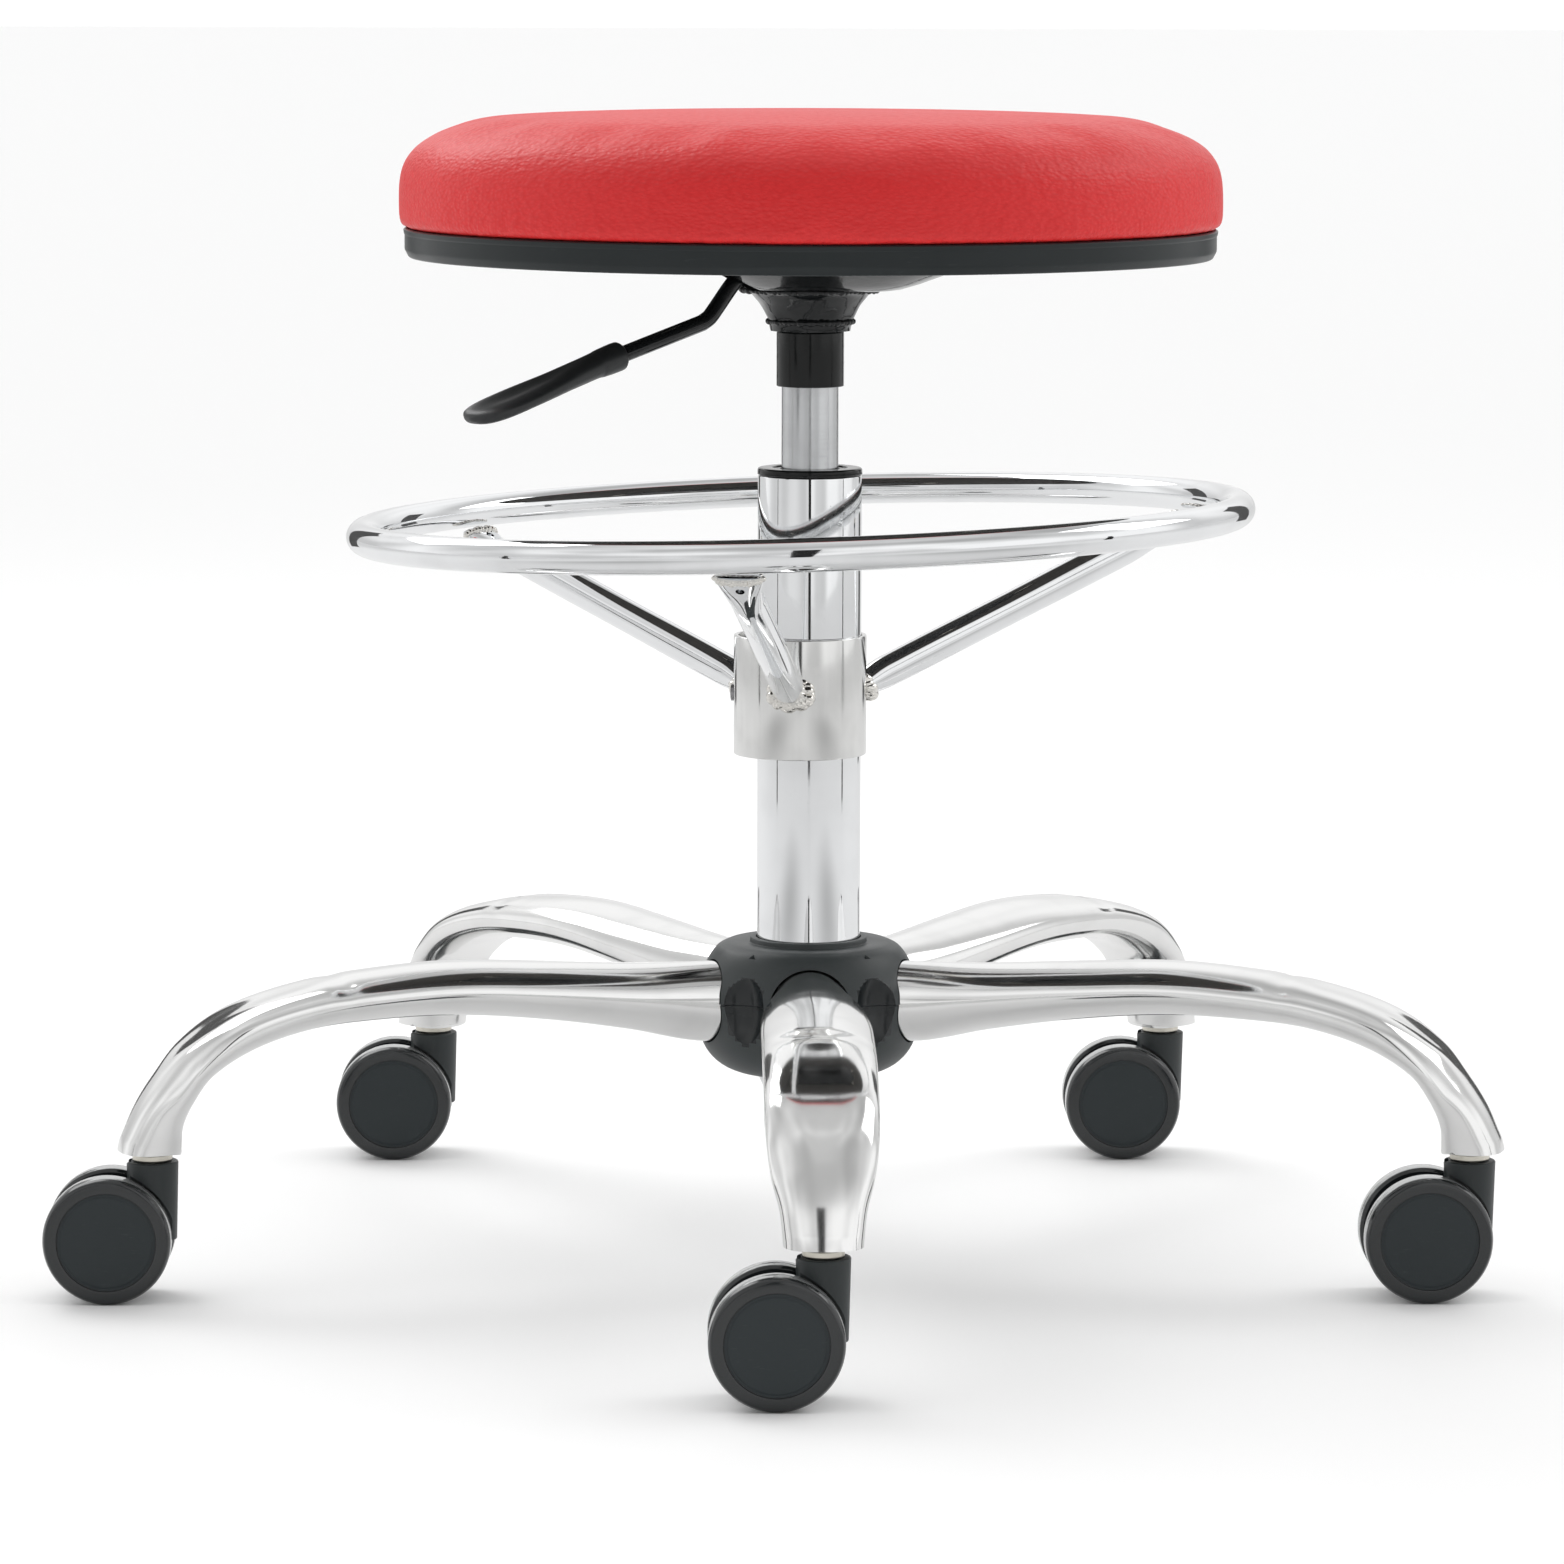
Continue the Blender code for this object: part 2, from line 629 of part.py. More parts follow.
def build_casters(root):
    """Set the casters under the leg ends, all trailing the way the stool was last pushed from."""
    hood, wheel, stem = hood_mesh(), wheel_mesh(), stem_mesh()
    outboard = WEB_THICKNESS / 2 + 0.0005 + WHEEL_WIDTH / 2
    for number in range(LEG_COUNT):
        label = f"caster_{number + 1}"
        angle = math.tau * number / LEG_COUNT
        spot = Matrix.Rotation(angle, 3, "Z") @ Vector((0.0, -STEM_CIRCLE, 0.0))
        dress(place(f"{label}_stem", stem.copy(), root, spot), "zinc")
        swivel = add_axis(f"{label}_swivel", root, spot)
        dress(place(f"{label}_hood", hood.copy(), swivel), "anthracite")
        hub = Vector((-WHEEL_TRAIL, 0.0, WHEEL_RADIUS))
        reach = WEB_THICKNESS / 2 + 0.0095
        ends = (hub - Vector((0, reach, 0)), hub + Vector((0, reach, 0)))
        dress(cylinder(f"{label}_axle", *ends, AXLE_RADIUS, 12, parent=swivel), "steel")
        near = place(f"{label}_wheel_a", wheel.copy(), swivel, hub - Vector((0, outboard, 0)))
        far = place(f"{label}_wheel_b", wheel.copy(), swivel, hub + Vector((0, outboard, 0)), math.pi)
        dress(near, "anthracite")
        dress(far, "anthracite")


# ---------------------------------------------------------------- foot rest
def arm_mesh(rise):
    """Make one arm along -Y, flattened where it is welded to the collar and to the ring.

    The rise is how much higher than the middle of the ring the ring is where this arm meets it.
    """
    inner, outer = ARM_SECTIONS[0][0], ARM_SECTIONS[-1][0]
    sections = []
    for reach, height, half_width, half_depth in ARM_SECTIONS:
        share = (reach - inner) / (outer - inner)
        sections.append((reach, height + rise * share, half_width, half_depth))
    slopes = section_slopes(sections, 0.0, math.radians(45.0))
    arm = skin("arm", section_rings(sections, slopes, ARM_SIDES), True)
    start, end = (0.0, -0.1935, 0.3560 + rise), (0.0, -0.2040, 0.3300 + rise)
    cut(arm, cylinder("drain_hole", start, end, 0.0021, 8))
    return template_mesh(arm)


def build_foot_rest(root):
    """Make the ring, its three arms, and the collar and screw that clamp it on the column."""
    centre = add_axis("foot_rest_axis", root, (FOOT_REST_SHIFT, 0.0, 0.0))
    bpy.ops.mesh.primitive_torus_add(
        major_segments=48, minor_segments=8, major_radius=RING_RADIUS, minor_radius=RING_TUBE,
    )
    source = bpy.context.active_object
    mesh = source.data.copy()
    bpy.data.objects.remove(source, do_unlink=True)
    ring = place("foot_ring", mesh, centre, (0.0, 0.0, RING_HEIGHT))
    ring.rotation_euler = (RING_LEAN_X, RING_LEAN_Y, 0.0)
    dress(ring, "chrome")
    for number in range(ARM_COUNT):
        turn = FIRST_ARM_ANGLE + math.tau * number / ARM_COUNT
        slope = -math.cos(turn) * math.sin(RING_LEAN_X) - math.sin(turn) * math.sin(RING_LEAN_Y)
        arm = place(f"ring_arm_{number + 1}", arm_mesh(slope * RING_RADIUS), centre, turn=turn)
        dress(arm, "chrome")
    inner = COLLAR_RADIUS - COLLAR_WALL
    wall = tube_profile(inner, COLLAR_RADIUS, COLLAR_BOTTOM, COLLAR_TOP)
    collar = turned("ring_collar", wall, 28, True, centre)
    away = Vector((math.cos(CLAMP_ANGLE), math.sin(CLAMP_ANGLE), 0.0))
    height = UP * (COLLAR_BOTTOM + COLLAR_TOP) / 2
    hole = cylinder("clamp_hole", height + away * 0.020, height + away * 0.050, CLAMP_RADIUS + GAP, 12)
    cut(collar, hole)
    dress(collar, "satin_chrome")
    start, end = height + away * 0.0214, height + away * (COLLAR_RADIUS + 0.0015)
    screw = cylinder("clamp_screw", start, end, CLAMP_RADIUS, 12, parent=centre)
    key = cylinder("clamp_key", height + away * 0.0310, height + away * 0.0400, 0.0023, 6)
    cut(screw, key)
    dress(screw, "steel")


# ---------------------------------------------------------------- lift and seat
def build_cylinder(seat):
    """Make the gas cylinder and the sleeve round its top."""
    well = BUTTON_RADIUS + 2 * GAP
    bore = ROD_RADIUS + RUNNING
    bore_end = ROD_TOP + 0.0400
    well_floor = CYLINDER_TOP - 0.0150
    cylinder_body = turned("gas_cylinder", (
        (0.0, well_floor), (well, well_floor), (well, CYLINDER_TOP),
        (CYLINDER_RADIUS - 0.0004, CYLINDER_TOP), (CYLINDER_RADIUS, SOCKET_BOTTOM),
        (CYLINDER_RADIUS, CYLINDER_BOTTOM + 0.0015), (CYLINDER_RADIUS - 0.0010, CYLINDER_BOTTOM),
        (bore, CYLINDER_BOTTOM), (bore, bore_end), (0.0, bore_end),
    ), 20, False, seat)
    dress(cylinder_body, "ground_steel")
    wall = tube_profile(CYLINDER_RADIUS + GAP, SLEEVE_RADIUS, SLEEVE_BOTTOM, SOCKET_BOTTOM - GAP)
    dress(turned("taper_sleeve", wall, 20, True, seat), "black_plastic")


def lever_frame():
    """Return the matrix that takes (reach, sideways, height) along the lever to the seat's frame."""
    return Matrix.Rotation(LEVER_ANGLE, 4, "Z")


def screw_spots():
    """Return the places of the screws that hold the plate to the board."""
    spots = []
    for side_x in (-1, 1):
        for side_y in (-1, 1):
            x = PAN_CENTRE_X + side_x * (FLANGE_HALF_X - SCREW_INSET)
            spots.append((x, side_y * (FLANGE_HALF_Y - SCREW_INSET - 0.015)))
    return spots


def dish(name, inset, low, high):
    """Make the pan's shape: its outline at the top, and a smaller one at its flat floor."""
    rings = []
    for share, height in ((PAN_FLOOR, low), (1.0, high)):
        half_x, half_y = PAN_HALF_X * share - inset, PAN_HALF_Y * share - inset
        outline = box_outline(PAN_CENTRE_X * share, half_x, half_y, PAN_CORNER * share)
        rings.append([(x, y, height) for x, y in outline])
    return skin(name, rings, True)


def build_seat_plate(seat):
    """Make the pressed pan under the seat, with its flange, taper socket and lever ears."""
    pan = dish("seat_plate", 0.0, PLATE_BOTTOM, PLATE_TOP - 0.0010)
    pan.parent = seat
    inside = dish("pan_inside", PLATE_SHEET, PLATE_BOTTOM + PLATE_SHEET, PLATE_TOP + 0.0010)
    flange = box_outline(PAN_CENTRE_X, FLANGE_HALF_X, FLANGE_HALF_Y, 0.0200)
    join(pan, prism("plate_flange", flange, PLATE_TOP - PLATE_SHEET, PLATE_TOP))
    cut(pan, inside)
    join(pan, turned("socket", (
        (0.0, PLATE_BOTTOM + 0.0010), (0.0300, PLATE_BOTTOM + 0.0010), (0.0250, SOCKET_BOTTOM + 0.0140),
        (0.0212, SOCKET_BOTTOM + 0.0080), (0.0190, SOCKET_BOTTOM), (0.0, SOCKET_BOTTOM),
    ), 20, False))
    for side in (-1, 1):
        place_ear = lever_frame() @ Matrix.Translation((LEVER_PIVOT, side * 0.0075, 0.4785))
        join(pan, box(f"ear_{side}", (0.0100, 0.0025, 0.0115), place_ear))
    start = (0, 0, SOCKET_BOTTOM - 0.010)
    end = (0, 0, PLATE_TOP + 0.010)
    cut(pan, cylinder("socket_bore", start, end, CYLINDER_RADIUS + GAP, 20))
    slot = lever_frame() @ Matrix.Translation((0.0560, 0.0, 0.4740))
    cut(pan, box("lever_slot", (0.0520, 0.0120, 0.0190), slot))
    ends = [lever_frame() @ Vector((LEVER_PIVOT, side, LEVER_HEIGHT)) for side in (-0.02, 0.02)]
    cut(pan, cylinder("pin_bore", *ends, LEVER_PIN_RADIUS + GAP, 10))
    for number, (x, y) in enumerate(screw_spots()):
        cut(pan, cylinder(f"plate_hole_{number}", (x, y, 0.46), (x, y, 0.50), 0.0034, 10))
    dress(pan, "black_gloss")


def squared(wave):
    """Push a point of a round section outwards, so that the section nears a rectangle."""
    return math.copysign(abs(wave) ** GRIP_ROUNDNESS, wave)


def build_lever(seat):
    """Make the lever's rod and grip on their pivot, its pin, and the valve button it presses."""
    frame = lever_frame()
    ends = [frame @ Vector((LEVER_PIVOT, side, LEVER_HEIGHT)) for side in (-0.0110, 0.0110)]
    dress(cylinder("lever_pin", *ends, LEVER_PIN_RADIUS, 10, parent=seat), "steel")
    run = math.cos(LEVER_SLOPE)
    fall = math.sin(LEVER_SLOPE)
    grip_start = Vector((GRIP_START, 0.0, BEND_END[1] + (GRIP_START - BEND_END[0]) * fall / run))
    along = Vector((run, 0.0, fall))
    path = [
        (-0.0080, LEVER_HEIGHT), (0.0360, LEVER_HEIGHT), (0.0420, LEVER_HEIGHT - 0.0012),
        (0.0480, LEVER_HEIGHT - 0.0050), (0.0600, 0.4622), (0.0635, 0.4587), BEND_END,
    ]
    points = [Vector((reach, 0.0, height)) for reach, height in path]
    points.append(grip_start + along * 0.0300)
    pivot = add_axis("lever_axis", seat, frame @ Vector((LEVER_PIVOT, 0.0, LEVER_HEIGHT)), LEVER_ANGLE)
    shift = Vector((LEVER_PIVOT, 0.0, LEVER_HEIGHT))
    rod = wire("lever", [point - shift for point in points], LEVER_ROD_RADIUS)
    rod.name = "lever_rod"
    rod.parent = pivot
    cut(rod, cylinder("lever_eye", (0, -0.02, 0), (0, 0.02, 0), LEVER_PIN_RADIUS + RUNNING, 10))
    dress(rod, "black_gloss")
    rings = []
    across = Vector((0.0, -1.0, 0.0))
    rise = Vector((-fall, 0.0, run))
    for distance, half_width, half_depth in GRIP_SECTIONS:
        middle = grip_start - shift + along * distance
        ring = []
        for side in range(12):
            angle = math.tau * side / 12
            flat, high = (squared(wave) for wave in (math.cos(angle), math.sin(angle)))
            ring.append(middle + across * half_width * flat + rise * half_depth * high)
        rings.append(ring)
    grip = skin("lever_grip", rings, True)
    grip.parent = pivot
    bore_start = grip_start - shift - along * 0.010
    bore_end = grip_start - shift + along * (0.0300 + GAP)
    cut(grip, cylinder("grip_bore", bore_start, bore_end, LEVER_ROD_RADIUS + 2 * GAP, 12))
    dress(grip, "black_plastic")
    top = LEVER_HEIGHT - LEVER_ROD_RADIUS - GAP
    low, high = (0, 0, CYLINDER_TOP - 0.0100), (0, 0, top)
    dress(cylinder("valve_button", low, high, BUTTON_RADIUS, 12, parent=seat), "steel")


def build_seat_top(seat):
    """Make the board, its edge band, the cushion and the screws that hold the plate."""
    edge = 0.0010
    board = turned("seat_board", (
        (0.0, BOARD_TOP), (BOARD_RADIUS - edge, BOARD_TOP), (BOARD_RADIUS, BOARD_TOP - edge),
        (BOARD_RADIUS, BOARD_BOTTOM), (0.0, BOARD_BOTTOM),
    ), SEAT_SIDES, False, seat)
    band_inner = BOARD_RADIUS + GAP
    dress(turned("trim_band", (
        (band_inner, BAND_TOP), (BAND_RADIUS, BAND_TOP), (BAND_RADIUS, BAND_BOTTOM + 0.0015),
        (BAND_RADIUS - 0.0015, BAND_BOTTOM), (BOARD_RADIUS - 0.0050, BAND_BOTTOM),
        (BOARD_RADIUS - 0.0050, BOARD_BOTTOM - GAP), (band_inner, BOARD_BOTTOM - GAP),
    ), SEAT_SIDES, True, seat), "anthracite")
    dress(turned("cushion", (
        (0.0, CUSHION_TOP), (0.0600, CUSHION_TOP), (0.1150, 0.5525), (0.1630, 0.5485), (0.1775, 0.5450),
        (0.1890, 0.5385), (0.1950, 0.5300), (CUSHION_RADIUS, 0.5210), (0.1962, 0.5110),
        (0.1940, 0.5020), (0.1915, BAND_TOP + GAP), (BOARD_RADIUS - 0.0015, BAND_TOP + GAP),
        (BOARD_RADIUS - 0.0020, BOARD_TOP + GAP), (0.0, BOARD_TOP + GAP),
    ), SEAT_SIDES, False, seat), "vinyl")
    under = PLATE_TOP - PLATE_SHEET - GAP
    for number, (x, y) in enumerate(screw_spots()):
        cut(board, cylinder(f"board_hole_{number}", (x, y, 0.48), (x, y, 0.4960), 0.0034, 10))
        profile = (
            (0.0, 0.4955), (0.0030, 0.4955), (0.0030, under), (0.0055, under),
            (0.0055, under - 0.0022), (0.0040, under - 0.0034), (0.0, under - 0.0034),
        )
        screw = turned(f"seat_screw_{number + 1}", profile, 12, False, seat)
        screw.location = (x, y, 0.0)
        dress(screw, "zinc")
    dress(board, "plywood")


def build_stool():
    """Put the whole stool together."""
    root = add_axis("stool_axis", None, (AXIS_X, AXIS_Y, 0.0))
    swivel = add_axis("lift_swivel", root)
    seat = add_axis("seat_lift", swivel)
    build_column(root)
    build_lift_foot(root, swivel)
    build_hub(root)
    build_legs(root)
    build_casters(root)
    build_foot_rest(root)
    build_cylinder(seat)
    build_seat_plate(seat)
    build_lever(seat)
    build_seat_top(seat)


build_stool()
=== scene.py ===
"""Rolling stool with a foot ring: the visible pieces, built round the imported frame.

Metres, +Z up, in the frame's own axes. Each sub-assembly is a class that makes its pieces, dresses
them and says which body they ride on.
"""

import logging
import math
from collections.abc import Sequence
from dataclasses import dataclass
from enum import Enum

import bmesh
import bpy
from mathutils import Matrix, Vector, noise


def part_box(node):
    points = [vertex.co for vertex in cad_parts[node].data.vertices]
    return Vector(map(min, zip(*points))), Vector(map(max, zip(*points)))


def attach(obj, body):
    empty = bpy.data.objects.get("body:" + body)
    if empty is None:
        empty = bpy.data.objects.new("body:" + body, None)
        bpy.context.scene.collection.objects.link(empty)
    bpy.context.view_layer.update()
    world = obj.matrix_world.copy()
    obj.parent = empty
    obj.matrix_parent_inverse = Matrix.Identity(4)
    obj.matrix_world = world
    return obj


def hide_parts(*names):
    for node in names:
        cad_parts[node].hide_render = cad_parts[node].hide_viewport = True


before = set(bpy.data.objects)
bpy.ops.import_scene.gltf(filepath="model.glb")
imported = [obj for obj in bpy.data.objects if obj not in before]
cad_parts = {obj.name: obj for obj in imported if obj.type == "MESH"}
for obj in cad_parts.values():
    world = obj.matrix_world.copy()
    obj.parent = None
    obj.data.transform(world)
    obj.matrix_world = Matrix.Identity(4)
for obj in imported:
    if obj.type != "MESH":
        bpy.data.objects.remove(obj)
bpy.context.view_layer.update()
LOG = logging.getLogger("stool")

Point = tuple[float, float]
Row = tuple[float, ...]
Colour = tuple[float, float, float]
Mesh = bpy.types.Mesh
SIDES = 96
SHARP = math.radians(40.0)


# ---------------------------------------------------------------- nodes
class Wire:
    """One value on its way through a node tree. Sums on it add Math nodes."""

    def __init__(self, nodes: "Nodes", socket: bpy.types.NodeSocket) -> None:
        """Hold a socket and the tree that it belongs to."""
        self.nodes = nodes
        self.socket = socket

    def _sum(self, operation: str, first: "Wire | float", second: "Wire | float") -> "Wire":
        """Add a Math node for two values."""
        return self.nodes.add("ShaderNodeMath", {"operation": operation}, {0: first, 1: second})

    def __add__(self, other: "Wire | float") -> "Wire":
        """Return the two added."""
        return self._sum("ADD", self, other)

    def __mul__(self, other: "Wire | float") -> "Wire":
        """Return the two multiplied."""
        return self._sum("MULTIPLY", self, other)

    __rmul__ = __mul__

    def __sub__(self, other: "Wire | float") -> "Wire":
        """Return this less the other."""
        return self._sum("SUBTRACT", self, other)

    def __rsub__(self, other: "Wire | float") -> "Wire":
        """Return the other less this."""
        return self._sum("SUBTRACT", other, self)

    def near(self, centre: float, width: float) -> "Wire":
        """Return 1 where this is at a centre, down to 0 a width away."""
        away = self._sum("ABSOLUTE", self - centre, 0.0)
        return self.nodes.ramp(away, width, 0.0)

    def over(self, low: float, high: float) -> "Wire":
        """Return 0 below low and 1 above high, smoothly."""
        return self.nodes.ramp(self, low, high)


class Nodes:
    """Adds nodes to one tree."""

    def __init__(self, tree: bpy.types.NodeTree) -> None:
        """Hold the tree."""
        self.tree = tree

    def add(self, kind: str, settings: dict | None = None, inputs: dict | None = None,
            out: int | str = 0) -> Wire:
        """Add one node.

        Args:
            kind: The node's type.
            settings: Its properties, which are set first.
            inputs: A value or a Wire for each named or numbered socket.
            out: The socket that the result comes from.

        Returns:
            That socket as a Wire.
        """
        node = self.tree.nodes.new(kind)
        for key, value in (settings or {}).items():
            setattr(node, key, value)
        for key, value in (inputs or {}).items():
            if isinstance(value, Wire):
                self.tree.links.new(value.socket, node.inputs[key])
            else:
                node.inputs[key].default_value = value
        return Wire(self, node.outputs[out])

    def ramp(self, value: Wire, low: float, high: float) -> Wire:
        """Map a value so that low gives 0 and high gives 1, smoothly and within those."""
        return self.add("ShaderNodeMapRange", {"interpolation_type": "SMOOTHSTEP"},
                        {"Value": value, "From Min": low, "From Max": high})

    def place(self) -> Wire:
        """Return the place on the piece in metres."""
        return self.add("ShaderNodeTexCoord", out="Object")

    def axis(self, value: Wire, number: int) -> Wire:
        """Return one part of a vector: 0, 1 or 2 for X, Y or Z."""
        return self.add("ShaderNodeSeparateXYZ", None, {0: value}, out=number)

    def grain(self, place: Wire, scale: float, detail: float = 3.0) -> Wire:
        """Return cloudy noise of a given scale, 0 to 1."""
        return self.add("ShaderNodeTexNoise", None,
                        {"Vector": place, "Scale": scale, "Detail": detail})

    def cells(self, place: Wire, scale: float) -> Wire:
        """Return the distance to the middle of the nearest pebble."""
        return self.add("ShaderNodeTexVoronoi", {"feature": "SMOOTH_F1"},
                        {"Vector": place, "Scale": scale, "Smoothness": 0.6})

    def stretched(self, place: Wire, scale: Row) -> Wire:
        """Return the place scaled by a different amount along each axis."""
        return self.add("ShaderNodeMapping", None, {"Vector": place, "Scale": scale})

    def blended(self, share: Wire | float, low: Colour | Wire, high: Colour | Wire) -> Wire:
        """Mix two colours."""
        wanted = {"Factor": share}
        for key, colour in ((6, low), (7, high)):
            wanted[key] = colour if isinstance(colour, Wire) else (*colour, 1.0)
        return self.add("ShaderNodeMix", {"data_type": "RGBA"}, wanted, out=2)

    def bump(self, height: Wire, depth: float, before: Wire | None = None) -> Wire:
        """Turn a height into a normal, on top of another bump where one is given."""
        wanted: dict = {"Height": height, "Distance": depth, "Strength": 1.0}
        if before is not None:
            wanted["Normal"] = before
        return self.add("ShaderNodeBump", None, wanted)


# ---------------------------------------------------------------- finishes
@dataclass(frozen=True)
class Finish:
    """A plain finish, and what every other one is built on.

    Its numbers that are the same all over are set on the shader's own sockets.
    """

    colour: Colour
    roughness: float
    metallic: float = 0.0
    coat: float = 0.0
    coat_roughness: float = 0.05
    specular: float = 0.5

    def material(self, name: str) -> bpy.types.Material:
        """Make the material.

        Args:
            name: The piece that wears it.

        Returns:
            The new material.
        """
        made = bpy.data.materials.new(name)
        made.use_nodes = True
        nodes = Nodes(made.node_tree)
        shader = made.node_tree.nodes["Principled BSDF"]
        fixed = {
            "Base Color": (*self.colour, 1.0), "Roughness": self.roughness,
            "Metallic": self.metallic,
            "Coat Weight": self.coat, "Coat Roughness": self.coat_roughness,
            "Specular IOR Level": self.specular,
        }
        for key, value in fixed.items():
            shader.inputs[key].default_value = value
        for key, wire in self.detail(nodes).items():
            made.node_tree.links.new(wire.socket, shader.inputs[key])
        return made

    def detail(self, nodes: Nodes) -> dict[str, Wire]:
        """Return what changes over the surface, by the name of the shader's socket."""
        clouds = nodes.grain(nodes.place(), 60.0)
        return {"Roughness": clouds * 0.12 + (self.roughness - 0.06)}


@dataclass(frozen=True)
class Chrome(Finish):
    """Bright plating with a faint ripple from the polished steel under it."""

    ripple: float = 0.00006
    ripple_scale: float = 26.0

    def detail(self, nodes: Nodes) -> dict[str, Wire]:
        """Return a mottled roughness, a faint tarnish and the ripple."""
        place = nodes.place()
        haze = nodes.grain(place, 35.0).over(0.45, 0.75)
        pits = nodes.grain(place, 900.0).over(0.66, 0.74)
        dull = tuple(0.88 * part for part in self.colour)
        waves = nodes.bump(nodes.grain(place, self.ripple_scale, 1.0), self.ripple)
        return {
            "Base Color": nodes.blended(haze * 0.5 + pits * 0.3, self.colour, dull),
            "Roughness": haze * 0.03 + pits * 0.10 + self.roughness,
            "Normal": waves,
        }


@dataclass(frozen=True)
class DrawnMetal(Finish):
    """Metal with fine marks that run one way, as turning, grinding or drawing leaves them."""

    marks: Row = (40.0, 40.0, 2600.0)
    depth: float = 0.000004
    spread: float = 0.12

    def detail(self, nodes: Nodes) -> dict[str, Wire]:
        """Return the marks in roughness, colour and bump."""
        place = nodes.place()
        lines = nodes.grain(nodes.stretched(place, self.marks), 1.0, 4.0)
        stains = nodes.grain(place, 45.0).over(0.4, 0.8)
        dull = tuple(0.72 * part for part in self.colour)
        return {
            "Base Color": nodes.blended(lines * 0.4 + stains * 0.4, self.colour, dull),
            "Roughness": lines * self.spread + stains * 0.08 + (self.roughness - self.spread / 2),
            "Normal": nodes.bump(lines, self.depth),
        }


@dataclass(frozen=True)
class Moulded(Finish):
    """Moulded plastic with a spark-eroded texture and lighter scuffs."""

    texture_scale: float = 1500.0
    texture_depth: float = 0.00005
    scuff: Colour = (0.050, 0.060, 0.063)

    def detail(self, nodes: Nodes) -> dict[str, Wire]:
        """Return the texture, the scuffs and dust."""
        place = nodes.place()
        pebbles = nodes.grain(place, self.texture_scale, 2.0)
        clouds = nodes.grain(place, 38.0, 4.0)
        marks = nodes.grain(nodes.stretched(place, (160.0, 160.0, 900.0)), 1.0, 4.0)
        marks = marks.over(0.62, 0.80)
        return {
            "Base Color": nodes.blended(marks * 0.25 + clouds * 0.12, self.colour, self.scuff),
            "Roughness": clouds * 0.14 + pebbles * 0.10 + (self.roughness - 0.12),
            "Normal": nodes.bump(pebbles, self.texture_depth),
        }


@dataclass(frozen=True)
class Enamel(Finish):
    """Stoved enamel with orange peel."""

    peel_scale: float = 240.0
    peel_depth: float = 0.00012

    def detail(self, nodes: Nodes) -> dict[str, Wire]:
        """Return the orange peel and a faint bloom."""
        place = nodes.place()
        peel = nodes.grain(place, self.peel_scale, 2.0)
        bloom = nodes.grain(place, 50.0)
        return {
            "Roughness": bloom * 0.08 + (self.roughness - 0.02),
            "Normal": nodes.bump(peel, self.peel_depth),
        }


@dataclass(frozen=True)
class Vinyl(Finish):
    """Upholstery vinyl: a pressed pebble grain, creases, and puckers where it is pulled under."""

    worn: Colour = (0.78, 0.046, 0.046)
    deep: Colour = (0.64, 0.018, 0.020)
    grain_scale: float = 480.0
    grain_depth: float = 0.00055
    edge_height: float = 0.4995

    def detail(self, nodes: Nodes) -> dict[str, Wire]:
        """Return the grain, the creases between its pebbles and the handled top."""
        place = nodes.place()
        height = nodes.axis(place, 2)
        warp = nodes.grain(place, 140.0, 2.0)
        pebbles = nodes.cells(nodes.stretched(place, (0.75, 0.75, 1.5)), self.grain_scale)
        creases = nodes.cells(place, self.grain_scale * 0.42)
        fine = nodes.grain(place, 2400.0, 2.0)
        soft = nodes.grain(place, 9.0, 3.0)
        puckers = nodes.grain(nodes.stretched(place, (420.0, 420.0, 18.0)), 1.0, 2.0)
        low = 1.0 - height.over(self.edge_height, self.edge_height + 0.014)
        relief = pebbles * 0.6 + creases * 0.35 + fine * 0.12 + warp * 0.5
        colour = nodes.blended(pebbles.over(0.25, 0.75) * 0.45, self.colour, self.deep)
        colour = nodes.blended(soft.over(0.35, 0.8) * 0.30, colour, self.worn)
        grained = nodes.bump(relief, self.grain_depth)
        return {
            "Base Color": colour,
            "Roughness": pebbles * 0.10 + soft * 0.10 + (self.roughness - 0.08),
            "Normal": nodes.bump(puckers * low, 0.0005, grained),
        }


@dataclass(frozen=True)
class Plywood(Finish):
    """Plywood coloured near black, seen only from underneath."""

    dark: Colour = (0.016, 0.014, 0.012)

    def detail(self, nodes: Nodes) -> dict[str, Wire]:
        """Return long grain with pores."""
        place = nodes.place()
        grain = nodes.grain(nodes.stretched(place, (8.0, 130.0, 130.0)), 1.0, 6.0)
        pores = nodes.grain(nodes.stretched(place, (60.0, 1400.0, 1400.0)), 1.0, 2.0).over(0.6, 0.7)
        return {
            "Base Color": nodes.blended(grain.over(0.3, 0.75), self.colour, self.dark),
            "Roughness": grain * 0.15 + (self.roughness - 0.07),
            "Normal": nodes.bump(grain - pores * 0.5, 0.0002),
        }


CHROME = Chrome((0.90, 0.91, 0.92), 0.035, 1.0)
LEG_CHROME = Chrome((0.90, 0.90, 0.895), 0.10, 1.0, ripple=0.00016, ripple_scale=20.0)
WELD_CHROME = Chrome((0.80, 0.78, 0.74), 0.12, 1.0, ripple=0.0006, ripple_scale=190.0)
SATIN = DrawnMetal((0.84, 0.84, 0.83), 0.10, 1.0, marks=(300.0, 300.0, 30.0), spread=0.08)
GROUND = DrawnMetal((0.66, 0.67, 0.68), 0.20, 1.0, marks=(30.0, 30.0, 3200.0))
STEEL = DrawnMetal((0.36, 0.36, 0.37), 0.40, 1.0)
ZINC = DrawnMetal((0.80, 0.77, 0.68), 0.30, 1.0, marks=(240.0, 240.0, 900.0))
